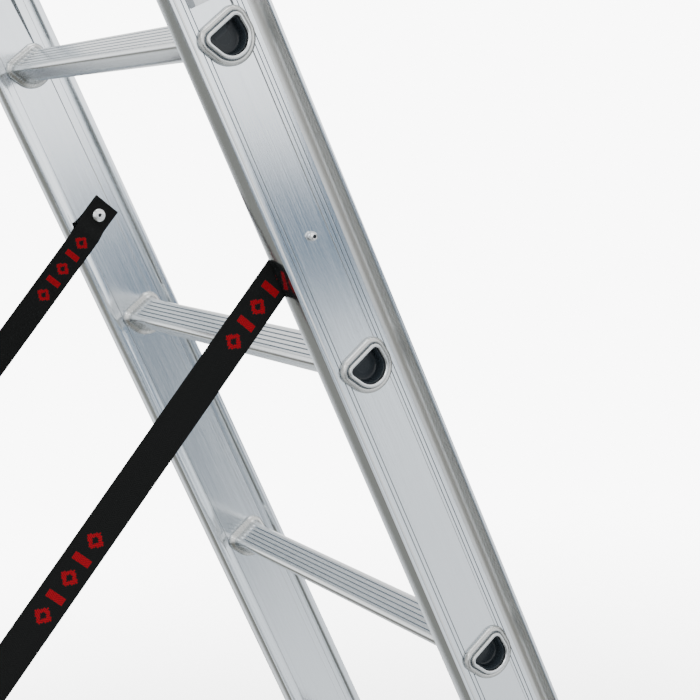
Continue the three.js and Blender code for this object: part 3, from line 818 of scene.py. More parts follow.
# flat-ended piece from a counter-clockwise outline and holes, with eased edges
def prism(outline, holes, low, high, ease, place):
    verts, faces, uvs = [], [], []
    capLoops = []
    steps = [(low, ease), (low + ease * 0.3, ease * 0.3), (low + ease, 0.0),
             (high - ease, 0.0), (high - ease * 0.3, ease * 0.3), (high, ease)]
    for loop, inwards in [(outline, 1)] + [(hole, -1) for hole in holes]:
        count = len(loop)
        base = len(verts)
        distance = lengthsAlong(loop + loop[:1])
        for t, inset in steps:
            ring = offsetLoop(loop, inset * inwards) if inset else loop
            verts.extend([place(a, b, t) for a, b in ring])
        for level, i, k, quad in ringQuads(len(steps) - 1, count, base):
            v0, v1 = steps[level][0] * mm, steps[level + 1][0] * mm
            corner = gridUv(distance[i] * mm, distance[i + 1] * mm, v0, v1)
            if inwards < 0:
                quad, corner = tuple(reversed(quad)), list(reversed(corner))
            faces.append(quad)
            uvs.append(corner)
        capLoops.append((base, count, offsetLoop(loop, ease * inwards) if ease else loop))
    flat = [point for base, count, loop in capLoops for point in loop]
    triangles = tessellate_polygon([[Vector((a, b, 0)) for a, b in loop] for base, count, loop in capLoops])
    lowIndex, highIndex = [], []
    for base, count, loop in capLoops:
        lowIndex += [base + i for i in range(count)]
        highIndex += [base + (len(steps) - 1) * count + i for i in range(count)]
    for tri in triangles:
        (ax, ay), (bx, by), (cx, cy) = [flat[i] for i in tri]
        order = tri if (bx - ax) * (cy - ay) - (cx - ax) * (by - ay) > 0 else tuple(reversed(tri))
        faces.append(tuple(highIndex[i] for i in order))
        uvs.append([(flat[i][0] * mm, flat[i][1] * mm) for i in order])
        back = tuple(reversed(order))
        faces.append(tuple(lowIndex[i] for i in back))
        uvs.append([(flat[i][0] * mm, flat[i][1] * mm) for i in back])
    return verts, faces, uvs


# rounded block from stacked rounded rectangles: (height, inset) levels
def stackedBlock(a0, a1, b0, b1, radius, levels):
    verts = []
    for height, inset in levels:
        size = max(0.6, radius - inset * 0.5)
        ring = rectangle(a0 + inset, a1 - inset, b0 + inset, b1 - inset, size, 6)
        verts.extend([(a, b, height) for a, b in ring])
    bands = len(levels) - 1
    faces = [quad for j, i, k, quad in ringQuads(bands, len(ring))] + endFaces(bands, len(ring))
    return verts, faces, sideUvs(verts, faces)


# right-hand piece and its mirror image, each riding on its body
def addBoth(name, mesh, material, section, slotName, node=None, angle=35.0, body=None, dark=None):
    place = sections[section]
    rider = body or place["body"]
    for side, parts in (("Right", mesh), ("Left", mirrored(*mesh))):
        # faces listed in dark take the black plug plastic as painted shade
        looks = [material, plugPlastic] if dark else [material]
        piece = makePiece(name + side, parts, looks, place["sign"], angle, dark)
        nodes = [f"{node}_{side.lower()}"] if node else []
        settle(piece, rider + ("_" + side.lower() if rider == "hook" else ""), slotName, *nodes)


# ---- straps ----

strapLook = {
    "threadAlong": 0.0015,      # metres between picks
    "threadAcross": 0.0012,
    "markLength": 0.0165,       # one woven mark with its gap
    "markHalf": 0.0085,         # half of a mark, across the strap
    "marksInRun": 5,
    "runStart": 0.026,
    "runPitch": 0.248,
    # thread is the black yarn lit on the weave's crests, a painted highlight; the darker red is the red yarn
    # in the hollows, painted shade
    "black": (0.0010, 0.0012, 0.0012),
    "thread": (0.0065, 0.0072, 0.0070),
    "red": (0.34, 0.0, 0.006),
    "redInShade": (0.045, 0.0, 0.002),
}


# plain weave: raised crossing threads in the strap's own coordinates
def buildWeaveGroup():
    group, gIn, gOut = newGroup(
        "webbingWeave",
        [("Run", "NodeSocketVector", None), ("Across", "NodeSocketFloat", 0.0008),
         ("Along", "NodeSocketFloat", 0.001)],
        [("Height", "NodeSocketFloat"), ("Fuzz", "NodeSocketFloat")],
    )
    split = group.nodes.new("ShaderNodeSeparateXYZ")
    group.links.new(gIn.outputs["Run"], split.inputs[0])
    u, v = split.outputs["X"], split.outputs["Y"]
    col = over(group, u, gIn.outputs["Across"])
    row = over(group, v, gIn.outputs["Along"])
    slant = plus(group, row, times(group, mathNode(group, "PINGPONG", col, 6.0), 0.35))
    ridge = sizeOf(group, mathNode(group, "SINE", times(group, slant, math.pi)))
    strand = sizeOf(group, mathNode(group, "SINE", times(group, col, math.pi)))
    height = times(group, mathNode(group, "POWER", ridge, 0.7), mathNode(group, "POWER", strand, 0.5))
    fuzz = noiseNode(group, scaled(group, gIn.outputs["Run"], (2400.0, 2400.0, 1.0)), 3.0)
    group.links.new(height, gOut.inputs["Height"])
    group.links.new(fuzz, gOut.inputs["Fuzz"])
    return group


weaveGroup = buildWeaveGroup()


def webbingMaterial():
    look = strapLook
    material, tree, shader = startMaterial("webbing", 0.85, 0.0)
    uv = tree.nodes.new("ShaderNodeUVMap")
    uv.uv_map = "run"
    weave = placeGroup(tree, weaveGroup, {"Across": look["threadAcross"], "Along": look["threadAlong"]})
    tree.links.new(uv.outputs["UV"], weave.inputs["Run"])
    split = tree.nodes.new("ShaderNodeSeparateXYZ")
    tree.links.new(uv.outputs["UV"], split.inputs[0])
    across, along = split.outputs["X"], split.outputs["Y"]
    # a run of red lozenges and bars, stepped by whole threads
    row = mathNode(tree, "FLOOR", over(tree, along, look["threadAlong"]))
    rowStep = times(tree, row, look["threadAlong"])
    col = mathNode(tree, "FLOOR", over(tree, across, look["threadAcross"]))
    colStep = times(tree, col, look["threadAcross"])
    inRun = mathNode(tree, "FLOORED_MODULO", minus(tree, rowStep, look["runStart"]), look["runPitch"])
    index = over(tree, inRun, look["markLength"])
    cell = minus(tree, mathNode(tree, "FRACT", index), 0.5)
    middle = over(tree, minus(tree, colStep, strapFacts["width"] * mm / 2), look["markHalf"])
    reach = plus(tree, times(tree, sizeOf(tree, cell), 2.3), sizeOf(tree, middle))
    lozenge = mathNode(tree, "LESS_THAN", reach, 1.0)
    hollow = mathNode(tree, "GREATER_THAN", reach, 0.42)
    bar = mathNode(tree, "LESS_THAN", sizeOf(tree, cell), 0.17)
    barEnd = mathNode(tree, "LESS_THAN", sizeOf(tree, middle), 0.95)
    odd = mathNode(tree, "FLOORED_MODULO", mathNode(tree, "FLOOR", index), 2.0)
    lozengeMark = times(tree, times(tree, lozenge, hollow), minus(tree, 1.0, odd))
    barMark = times(tree, times(tree, bar, barEnd), odd)
    mark = plus(tree, lozengeMark, barMark, clamp=True)
    mark = times(tree, mark, mathNode(tree, "LESS_THAN", index, float(look["marksInRun"])))
    # hollows of the weave darker and crests lighter: painted shade and painted light
    black = mixColour(tree, weave.outputs["Height"], look["black"], look["thread"])
    red = mixColour(tree, weave.outputs["Height"], look["redInShade"], look["red"])
    base = mixColour(tree, mark, black, red)
    fuzzed = mixColour(tree, times(tree, weave.outputs["Fuzz"], 0.25), base, look["black"])
    tree.links.new(fuzzed, shader.inputs["Base Color"])
    tree.links.new(spanned(tree, weave.outputs["Fuzz"], 0.78, 0.92), shader.inputs["Roughness"])
    shader.inputs["Specular IOR Level"].default_value = 0.12
    bumpNode(tree, weave.outputs["Height"], 0.55, 0.0003, shader)
    return material


webbing = webbingMaterial()


# flat strap from behind its rear rivet, over the rail, to past the front stud
def strapMesh():
    facts = strapFacts
    drop = math.radians(facts["drop"])
    width, thick = facts["width"], facts["thickness"]
    toRail = half - stileShape["railThickness"] - (width / 2) * math.sin(drop)
    lift = toRail / math.cos(drop) - 2
    knots = [(-facts["tail"], facts["rearX"]), (8, facts["rearX"]), (lift, facts["railX"]),
             (lift + 18, facts["railX"]), (strapSpan - 24, facts["frontX"]),
             (strapSpan + facts["tail"], facts["frontX"])]
    along = []
    t = knots[0][0]
    while t < knots[-1][0]:
        along.append(t)
        t += 3.0 if t < lift + 40 else 9.0
    along.append(knots[-1][0])

    def height(t):
        for (t0, x0), (t1, x1) in zip(knots, knots[1:]):
            if t <= t1:
                k = (t - t0) / (t1 - t0)
                k = k * k * (3 - 2 * k) if t1 < lift + 1 else k
                return x0 + (x1 - x0) * k
        return knots[-1][1]

    # rounded selvedges
    section = [(0.0, 0.55), (0.35, 0.12), (1.1, 0.0)]
    section += [(width * k / 14, 0.0) for k in range(2, 13)]
    section += [(width - 1.1, 0.0), (width - 0.35, 0.12), (width, 0.55)]
    top = [(c, thick - x) for c, x in reversed(section)]
    ring = section + top
    count = len(ring)
    verts, faces, uvs = [], [], []
    for t in along:
        x = height(t)
        for c, lift0 in ring:
            off = c - width / 2
            y = layout["planeOffset"] - t * math.cos(drop) + off * math.sin(drop)
            z = facts["rearZ"] - t * math.sin(drop) - off * math.cos(drop)
            verts.append((x + lift0, y, z))
    bands = len(along) - 1
    for j, i, k, quad in ringQuads(bands, count):
        faces.append(quad)
        v0, v1 = [(t - along[0] - facts["tail"]) * mm for t in (along[j], along[j + 1])]
        uvs.append(gridUv(ring[i][0] * mm, ring[k][0] * mm, v0, v1))
    ends = endFaces(bands, count)
    uvs += [[(ring[i % count][0] * mm, verts[i][0] * mm) for i in face] for face in ends]
    return verts, faces + ends, uvs


strapParts = strapMesh()
for side, parts in (("Right", strapParts), ("Left", mirrored(*strapParts))):
    strap = makePiece("restraintStrap" + side, parts, [webbing], 1, 50.0)
    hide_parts("strap_" + side.lower())
    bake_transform(strap)
print("straps ready")

# ---- rivets, studs and bolts ----

plateFacts = {
    "inner": 227.4, "outer": 230.4, "bottom": 1983.0, "nose": 20.0, "rearHalf": 26.0,
    "top": 2062.0, "ease": 0.5,
}
rivetFacts = {"headRadius": 7.0, "shank": 2.6, "mandrel": 1.7, "tail": 6.0}


def strapRivetMesh():
    f = rivetFacts
    x = strapFacts["rearX"] - 0.3
    w = rearWeb + layout["webThickness"]
    head = [(x - 0.6, 0.0), (x - 0.6, f["mandrel"]), (x - 1.9, f["mandrel"] + 0.15),
            (x - 2.2, f["mandrel"] + 0.7), (x - 2.15, 3.4), (x - 1.7, 5.2), (x - 1.0, 6.4),
            (x - 0.45, 6.9), (x, f["headRadius"])]
    body = [(x, f["shank"]), (w + 0.3, f["shank"]), (w + 0.6, 3.4), (w + 1.6, 3.9), (w + 3.2, 3.75),
            (w + 4.6, 3.1), (w + 5.6, 2.5), (w + f["tail"], 1.9), (w + f["tail"] - 0.1, 1.6),
            (w + 4.6, 1.45), (w + 4.4, 0.0)]
    profile = head + body
    return lathe(profile, rearPlane, strapFacts["rearZ"], 40)


def strapStudMesh():
    web = frontWeb
    fx = strapFacts["frontX"]
    top = fx + strapFacts["thickness"] + 0.3
    profile = [(web - 3.3, 0.0), (web - 3.3, 6.2), (web - 2.7, 7.4), (web - 0.9, 8.8), (web - 0.3, 9.0),
               (web - 0.3, 5.0), (web + 2.3, 5.0), (web + 2.3, 8.6), (web + 2.8, 9.0), (fx - 1.2, 9.0),
               (fx - 0.3, 8.4), (fx - 0.3, 2.6), (top, 2.6), (top, 7.0), (top + 0.5, 6.9),
               (top + 1.1, 6.2), (top + 1.6, 4.6), (top + 1.7, 2.2), (top + 1.5, 1.4), (top + 0.4, 1.3),
               (top + 0.4, 0.0)]
    return lathe(profile, 0.0, strapFrontZ, 40)


def apexBoltMesh():
    web, inner, outer = frontWeb, plateFacts["inner"], plateFacts["outer"]
    profile = [(web - 5.3, 0.0), (web - 5.3, 4.2), (web - 8.9, 4.6), (web - 9.3, 5.2), (web - 9.3, 8.0),
               (web - 8.7, 9.2), (web - 7.3, 10.0), (web - 0.3, 10.0), (web - 0.3, 6.0), (web + 2.3, 6.0),
               (web + 2.3, 8.6), (web + 2.7, 9.0), (inner - 0.7, 9.0), (inner - 0.3, 8.6),
               (inner - 0.3, 6.0), (outer + 0.3, 6.0), (outer + 0.3, 10.0), (outer + 4.0, 10.0),
               (outer + 5.2, 9.3), (outer + 6.0, 8.0), (outer + 6.0, 0.0)]
    return lathe(profile, 0.0, apexHeight, 48)


def mandrelShadeFaces(mesh):
    # 1 for a face inside the hole that the mandrel leaves at each end; these faces take the black plug
    # plastic as painted shade
    verts, faces = mesh[:2]
    marks = []
    for face in faces:
        reach = max(math.hypot(verts[i][1] - rearPlane, verts[i][2] - strapFacts["rearZ"]) for i in face)
        marks.append(int(reach < rivetFacts["mandrel"] + 0.02))
    return marks


rivetMesh = strapRivetMesh()
addBoth("strapRivet", rivetMesh, rivetSteel, "rear", "steel", "strap_rivet", 30.0,
        dark=mandrelShadeFaces(rivetMesh))
addBoth("strapStud", strapStudMesh(), rivetSteel, "front", "steel", "strap_stud", 30.0)
addBoth("apexBolt", apexBoltMesh(), zincSteel, "rear", "steel", "apex_bolt", 30.0)
print("fixings ready")

# ---- hinge plates ----


def hingePlateMesh():
    f = plateFacts
    front, back = rearPlane - f["rearHalf"], rearPlane + f["rearHalf"]
    nose = -f["nose"]
    corners = [(nose * 0.7, apexHeight + nose * 0.8), (0, apexHeight + nose * 1.05),
               (front, f["bottom"] + 8), (front + 8, f["bottom"]), (back, f["bottom"]),
               (back, f["top"] - 8), (back - 8, f["top"]), (6, f["top"] - 2), (nose * 0.6, f["top"] - 6),
               (nose * 0.95, f["top"] - 14), (nose, apexHeight + nose * 0.3)]
    outline = roundCorners(corners, [8, 10, 12, 6, 4, 4, 6, 14, 8, 8, 12], 5)
    sheet = prism(outline, [circle(0, apexHeight, 6.1, 40)], f["inner"], f["outer"], f["ease"], alongX)
    parts = [sheet]
    for z in (f["bottom"] + 13, apexHeight + 8):
        profile = [(f["inner"] - 2.3, 0.0), (f["inner"] - 2.3, 3.2), (f["inner"] - 2.0, 5.6),
                   (f["inner"] - 0.9, 7.4), (f["inner"] + 0.2, 7.9), (f["outer"] - 0.6, 7.9),
                   (f["outer"] - 0.1, 7.0), (rearWeb - 0.3, 7.0), (rearWeb - 0.3, 0.0)]
        parts.append(lathe(profile, rearPlane, z, 36))
    return joinMeshes(parts)


addBoth("hingePlate", hingePlateMesh(), zincSteel, "rear", "steel", "hinge_plate", 30.0)

# ---- caps ----

capFacts = {"edge": 0.8, "corner": 3.2, "gap": 0.3}


def capMesh(section, flip=False):
    place = sections[section]
    f = capFacts
    z = [0, 0.4, 2.6, 2.9, 3.6, 3.9, 7.6, 9.2, 10.5, 11.3, 11.6, 11.7]
    inset = [0.5, 0, 0, 0.45, 0.45, 0, 0.05, 0.5, 1.4, 2.6, 4.0, 6.5]
    levels = list(zip(z, inset))
    if flip:
        levels = [(place["bottom"] - f["gap"] - height, i) for height, i in reversed(levels)]
    else:
        levels = [(place["top"] + f["gap"] + height, i) for height, i in levels]
    return stackedBlock(place["web"] - layout["railReach"] - f["edge"], place["web"] + lipTip + f["edge"],
                        place["plane"] - half - f["edge"], place["plane"] + half + f["edge"],
                        f["corner"], levels)


for section in sections:
    addBoth(section + "TopCap", capMesh(section), capPlastic, section, "rubber", section + "_top_cap", 40.0)
addBoth("flyBottomCap", capMesh("fly", True), capPlastic, "fly", "rubber", "fly_bottom_cap", 40.0)
print("caps ready")

# ---- feet ----

# keeps a block inside the channel clear of the corners under the lips
flangeInset = stileShape["lipThickness"] + stileShape["cornerRun"] + 1
footFacts = {"treads": 5, "treadDepth": 2.2, "treadWidth": 3.4}


def treadLine(y0, y1, slope):
    # floor line from y0 to y1 with grooves across it
    f = footFacts
    line = [(y0, slope * y0)]
    for k in range(1, f["treads"] + 1):
        centre = y0 + (y1 - y0) * k / (f["treads"] + 1)
        for dy, dz in ((-f["treadWidth"] / 2, 0), (-f["treadWidth"] / 2 + 0.5, f["treadDepth"]),
                       (f["treadWidth"] / 2 - 0.5, f["treadDepth"]), (f["treadWidth"] / 2, 0)):
            line.append((centre + dy, slope * (centre + dy) + dz))
    line.append((y1, slope * y1))
    return line


def bootMesh():
    slope = math.tan(math.radians(layout["lean"]))
    y0, y1 = -half - 1, half + 1
    top = 27.7
    outline = treadLine(y0, y1, slope)
    for z in (16.5, 21.0):
        outline += [(y1, z), (y1 - 0.9, z + 0.5), (y1 - 0.9, z + 1.6), (y1, z + 2.1)]
    outline += [(y1, top - 1.0), (y1 - 1.0, top), (y0 + 1.0, top), (y0, top - 1.0)]
    for z in (20.0, 12.0, 4.0, -4.0):
        outline += [(y0, z + 2.1), (y0 + 0.9, z + 1.6), (y0 + 0.9, z + 0.5), (y0, z)]
    web = frontWeb
    sole = prism(outline, [], web - layout["railReach"] - 1, web + lipTip + 1, 1.4, alongX)
    inset = flangeInset
    plug = prism(rectangle(web + 2.3, web + lipTip - 0.6, -half + inset, half - inset, 2.0), [],
                 26.0, 60.0, 1.2, alongZ)
    padInset = stileShape["railThickness"] + 0.6
    pad = prism(rectangle(web - layout["railReach"] + 0.6, web - 0.3, -half + padInset, half - padInset, 1.5),
                [], 26.0, 60.0, 1.0, alongZ)
    return joinMeshes([sole, plug, pad])


addBoth("frontBoot", bootMesh(), footRubber, "front", "rubber", "front_boot", 30.0)

barFacts = {
    "front": 41.2, "depth": 50.0, "height": 40.0, "wall": 2.5, "reach": 450.0, "corner": 4.5,
    "shoeWall": 4.0, "shoeLength": 62.0,
}


def barMesh():
    f = barFacts
    outer = rectangle(f["front"], f["front"] + f["depth"], 0, f["height"], f["corner"], 6)
    inner = rectangle(f["front"] + f["wall"], f["front"] + f["depth"] - f["wall"], f["wall"],
                      f["height"] - f["wall"], f["corner"] - 2, 6)
    return prism(outer, [inner], -f["reach"], f["reach"], 0.4, alongX)


bar = makePiece("stabiliserBar", barMesh(), [stileAluminium], 1, 30.0)
settle(bar, "rear", "aluminium", "stabiliser_bar")


def shoeMesh():
    f = barFacts
    slope = -math.tan(math.radians(layout["lean"]))
    y0, y1 = f["front"] - f["shoeWall"], f["front"] + f["depth"] + f["shoeWall"]
    top = f["height"] + f["shoeWall"]
    outline = treadLine(y0, y1, slope)
    outline += [(y1, 24.0), (y1 - 0.8, 24.5), (y1 - 0.8, 25.8), (y1, 26.3), (y1, top - 4),
                (y1 - 1.2, top - 1.2), (y1 - 4, top), (y0 + 4, top), (y0 + 1.2, top - 1.2), (y0, top - 4),
                (y0, 26.3), (y0 + 0.8, 25.8), (y0 + 0.8, 24.5), (y0, 24.0)]
    end = f["reach"] + f["shoeWall"]
    start = end - f["shoeLength"]
    pocket = rectangle(f["front"] - 0.3, f["front"] + f["depth"] + 0.3, -0.3, f["height"] + 0.3, 4.6, 5)
    sleeve = prism(outline, [pocket], start, f["reach"] + 0.3, 0.8, alongX)
    block = prism(outline, [], f["reach"] + 0.31, end, 1.2, alongX)
    return joinMeshes([sleeve, block])


addBoth("stabiliserShoe", shoeMesh(), footRubber, "rear", "rubber", "stabiliser_shoe", 30.0)


def tongueMesh():
    low, high = rearPlane - half + flangeInset, rearPlane + half - flangeInset
    outline = rectangle(rearWeb + 2.3, rearWeb + lipTip - 1, low, high, 2.0)
    return prism(outline, [], sections["rear"]["bottom"], 102.0, 1.0, alongZ)


addBoth("barTongue", tongueMesh(), stileAluminium, "rear", "aluminium", "bar_tongue", 30.0)


def barBoltMesh():
    parts = []
    for z in (58.0, 86.0):
        face = rearWeb + lipTip - 1
        profile = [(face + 0.05, 0.0), (face + 0.05, 9.0), (face + 1.4, 8.8), (face + 1.6, 6.6),
                   (face + 5.6, 6.4), (face + 6.2, 5.6), (face + 6.2, 3.0), (face + 3.6, 2.8),
                   (face + 3.6, 0.0)]
        parts.append(lathe(profile, rearPlane, z, 32))
        w = rearWeb
        back = [(w - 4.1, 0.0), (w - 4.1, 3.6), (w - 3.7, 6.0), (w - 2.1, 7.4), (w - 0.3, 7.6),
                (w - 0.05, 7.6), (w - 0.05, 0.0)]
        parts.append(lathe(back, rearPlane, z, 32))
    return joinMeshes(parts)


addBoth("barBolt", barBoltMesh(), zincSteel, "rear", "steel", None, 30.0)
print("feet ready")

# ---- guides of the fly section ----

guideFacts = {
    "thickness": 3.0, "gap": 1.0, "frontLow": 1870.0, "frontHigh": 1930.0, "flyLow": 60.3, "flyHigh": 120.3,
}
# outer side of the rounded corner in the fly channel
flyCorner = flyWeb + layout["webThickness"] + stileShape["cornerRise"]


def frontGuideMesh():
    f = guideFacts
    face = frontWeb - 0.3
    tongueY = flyPlane + half - stileShape["lipThickness"] - f["gap"] - f["thickness"]
    back = half - 26
    outline = [(flyCorner + 1, tongueY), (face, tongueY), (face, back), (face - f["thickness"], back),
               (face - f["thickness"], tongueY + f["thickness"]), (flyWeb + 9.7, tongueY + f["thickness"])]
    bent = roundCorners(outline, [0.8, 2.6, 1.0, 0.8, 1.0, 0.8], 4)
    parts = [prism(bent, [], f["frontLow"], f["frontHigh"], 0.5, alongZ)]
    for z in (1884.0, 1916.0):
        x = face - f["thickness"]
        head = [(x - 1.7, 0.0), (x - 1.7, 1.2), (x - 1.5, 2.9), (x - 0.7, 3.9), (x - 0.02, 4.2),
                (x - 0.02, 0.0)]
        parts.append(lathe(head, 0.0, z, 28))
    return joinMeshes(parts)


def flyGuideMesh():
    f = guideFacts
    x0 = flyWeb + 2.3
    link = flyCorner + 1
    tongueY = -half + stileShape["railThickness"] + f["gap"]
    y = flyPlane
    tip = frontWeb - 1
    outline = [(x0, y - 22), (x0 + 3, y - 22), (x0 + 3, y + 14), (link + 4, y + 14), (link + 4, tongueY),
               (tip, tongueY), (tip, tongueY + 3), (link, tongueY + 3), (link, y + 22), (x0, y + 22)]
    bent = roundCorners(outline, [0.8, 0.8, 0.8, 1.2, 0.8, 0.8, 0.8, 1.2, 0.8, 1.2], 4)
    parts = [prism(bent, [], f["flyLow"], f["flyHigh"], 0.5, alongZ)]
    for z in (75.0, 105.0):
        head = [(x0 + 3.02, 0.0), (x0 + 3.02, 4.2), (x0 + 3.7, 3.9), (x0 + 4.5, 2.9), (x0 + 4.7, 1.2),
                (x0 + 4.7, 0.0)]
        parts.append(lathe(head, y - 6.0, z, 28))
    return joinMeshes(parts)


addBoth("frontGuide", frontGuideMesh(), zincSteel, "front", "steel", "front_guide", 30.0)
addBoth("flyGuide", flyGuideMesh(), zincSteel, "fly", "steel", "fly_guide", 30.0)

# ---- rung hooks, parked up and forward ----

hookFacts = {
    "pinY": flyPlane + hookPin["back"], "pinZ": hookPin["z"], "parked": 165.0, "thickness": 4.0,
}


def hookMesh():
    f = hookFacts
    outerX = flyWeb - layout["railReach"] - 1
    innerX = outerX - f["thickness"]
    tilt = math.radians(layout["treadTilt"])
    swing = math.radians(f["parked"])

    # places a point of the mouth over the tread of the first rung
    def seat(along, up):
        a, b = turned(along, up, tilt)
        return a, layout["rungPitch"] + b

    def parked(point):
        a, b = turned(point[0] - f["pinY"], point[1] - f["pinZ"], swing)
        return f["pinY"] + a, f["pinZ"] + b

    corners = [seat(-16, 12.3), seat(19.5, 12.3), seat(19.5, -6), seat(26, -6), seat(26, 20), seat(20, 27),
               (f["pinY"] + 14, f["pinZ"] + 9), (f["pinY"], f["pinZ"] + 13), (f["pinY"] - 11, f["pinZ"] + 7),
               (f["pinY"] - 12, f["pinZ"] - 8), seat(-18, 18)]
    smooth = roundCorners(corners, [2.0, 2.4, 1.6, 3.0, 9.0, 8.0, 9.0, 9.0, 9.0, 10.0, 5.0], 5)
    outline = [parked(point) for point in smooth]
    blade = prism(outline, [], innerX, outerX, 0.6, alongX)
    pinRadius, w = hookPin["radius"], flyWeb + layout["webThickness"]
    profile = [(innerX - 2.0, 0.0), (innerX - 2.0, 5.4), (innerX - 1.4, 6.6), (innerX - 0.2, 7.0),
               (outerX - 0.4, 7.0), (outerX - 0.4, pinRadius), (w + 0.3, pinRadius), (w + 0.3, 6.8),
               (w + 1.1, 7.0), (w + 3.1, 6.6), (w + 4.0, 5.6), (w + 4.0, 0.0)]
    pin = lathe(profile, f["pinY"], f["pinZ"], 36)
    return joinMeshes([blade, pin])


addBoth("rungHook", hookMesh(), zincSteel, "fly", "steel", "rung_hook", 30.0, body="hook")
print("guides and hooks ready")

# ---- blank label on the right rear stile ----

labelFacts = {"edge": 5.0, "low": 1431.0, "high": 1559.0, "from": -18.4, "to": 17.6, "thickness": 0.12}


def paperMaterial(name, low, high, roughness):
    material, tree, shader = startMaterial(name, roughness, 0.0)
    grain = placeGroup(tree, grainGroup, {"Scale": 1800.0, "Cloud": 60.0})
    tree.links.new(mixColour(tree, grain.outputs["Cloud"], low, high), shader.inputs["Base Color"])
    rough = spanned(tree, grain.outputs["Grain"], roughness - 0.08, roughness + 0.1)
    tree.links.new(rough, shader.inputs["Roughness"])
    bumpNode(tree, grain.outputs["Grain"], 0.05, 0.0001, shader)
    return material


labelPale = paperMaterial("labelPale", (0.62, 0.64, 0.66), (0.70, 0.72, 0.74), 0.42)
labelGrey = paperMaterial("labelGrey", (0.19, 0.21, 0.23), (0.24, 0.26, 0.28), 0.42)


def labelMesh():
    f = labelFacts
    x = rearWeb + layout["webThickness"] + 0.02
    y0, y1 = rearPlane + f["from"], rearPlane + f["to"]
    sheet = prism(rectangle(y0, y1, f["low"], f["high"], 1.5, 4), [], x, x + f["thickness"], 0.03, alongX)
    top = x + f["thickness"]
    band = rectangle(y0, y0 + f["edge"], f["low"], f["high"], 1.5, 4)
    strip = prism(band, [], top, top + 0.04, 0.01, alongX)
    return sheet, strip


for name, mesh, material in zip(("labelSheet", "labelEdge"), labelMesh(), (labelPale, labelGrey)):
    settle(makePiece(name, mesh, [material], 1, 30.0), "rear", "rubber")

# ---- camera ----

cameraFacts = {
    "place": (1335.0, -431.0, 1536.9),    # in the folded rear section
    "right": (0.37126, 0.79323, 0.48265),  # along (down the stile, outward, across)
    "down": (0.87374, -0.47436, 0.10751),
    "forward": (0.31423, 0.38180, -0.86919),
    "sensor": 36.0,
    "focalPerWidth": 1597.8 / 700.0,
}
rearPlace = leanMatrix(1)
rearTurn = rearPlace.to_3x3()
downStile = rearTurn @ Vector((0, 0, -1))
outward = rearTurn @ Vector((0, 1, 0))
across = Vector((1, 0, 0))


def rowVector(parts):
    return downStile * parts[0] + outward * parts[1] + across * parts[2]


viewRight = rowVector(cameraFacts["right"])
viewUp = -rowVector(cameraFacts["down"])
viewBack = -rowVector(cameraFacts["forward"])
cameraData = bpy.data.cameras.new("viewCamera")
cameraData.lens = cameraFacts["focalPerWidth"] * cameraFacts["sensor"]
cameraData.sensor_width = cameraFacts["sensor"]
cameraData.clip_end = 60.0
camera = bpy.data.objects.new("viewCamera", cameraData)
turn = Matrix((viewRight, viewUp, viewBack)).transposed().to_4x4()
camera.matrix_world = Matrix.Translation(rearPlace @ (Vector(cameraFacts["place"]) * mm)) @ turn
bpy.context.scene.collection.objects.link(camera)
bpy.context.scene.camera = camera

# ---- floor and light ----

floorFacts = {"radius": 6.0, "fadeFrom": 0.5, "fadeTo": 3.4, "colour": (0.95, 0.95, 0.95, 1)}


def buildFloor():
    count = 96
    points = [(a, b, 0) for a, b in circle(0, 0, floorFacts["radius"], count)]
    mesh = bpy.data.meshes.new("floor")
    mesh.from_pydata(points, [], [tuple(range(count))])
    piece = bpy.data.objects.new("floor", mesh)
    bpy.context.scene.collection.objects.link(piece)
    material, tree, shader = startMaterial("paleFloor", 0.9, 0.0)
    shader.inputs["Base Color"].default_value = floorFacts["colour"]
    place = tree.nodes.new("ShaderNodeTexCoord").outputs["Object"]
    length = tree.nodes.new("ShaderNodeVectorMath")
    length.operation = "LENGTH"
    tree.links.new(place, length.inputs[0])
    facts = floorFacts
    fade = spanned(tree, length.outputs["Value"], 1.0, 0.0, facts["fadeFrom"], facts["fadeTo"], True)
    # the metal mirrors the studio rather than the floor
    rays = tree.nodes.new("ShaderNodeLightPath")
    seen = minus(tree, 1.0, rays.outputs["Is Glossy Ray"])
    tree.links.new(times(tree, fade, seen), shader.inputs["Alpha"])
    mesh.materials.append(material)


buildFloor()

studioFacts = {
    "backdrop": 9.0,          # brightness the camera sees
    # (height of the direction, colour) of the room round the ladder
    "room": [(-0.60, (1.10, 1.13, 1.15)), (-0.30, (1.45, 1.50, 1.54)), (-0.14, (1.75, 1.83, 1.88)),
             (0.0, (2.55, 2.58, 2.60)), (0.25, (2.0, 2.0, 2.0)), (0.8, (1.6, 1.6, 1.6))],
    "screen": (0.10, 0.19, 0.31),       # cool screen low on the +X side
    "screenHeights": (-0.175, -0.130, -0.080, -0.030),
    "lowScreen": (0.26, 0.31, 0.37),    # its lower part, nearer to +X
    "lowHeights": (-0.40, -0.26, -0.17, -0.11),
    "lowTurn": (0.50, 0.40),            # Y over X where it starts and is full
    "front": (0.30, 0.30, 0.275),       # unlit floor in front of the climbing side
}


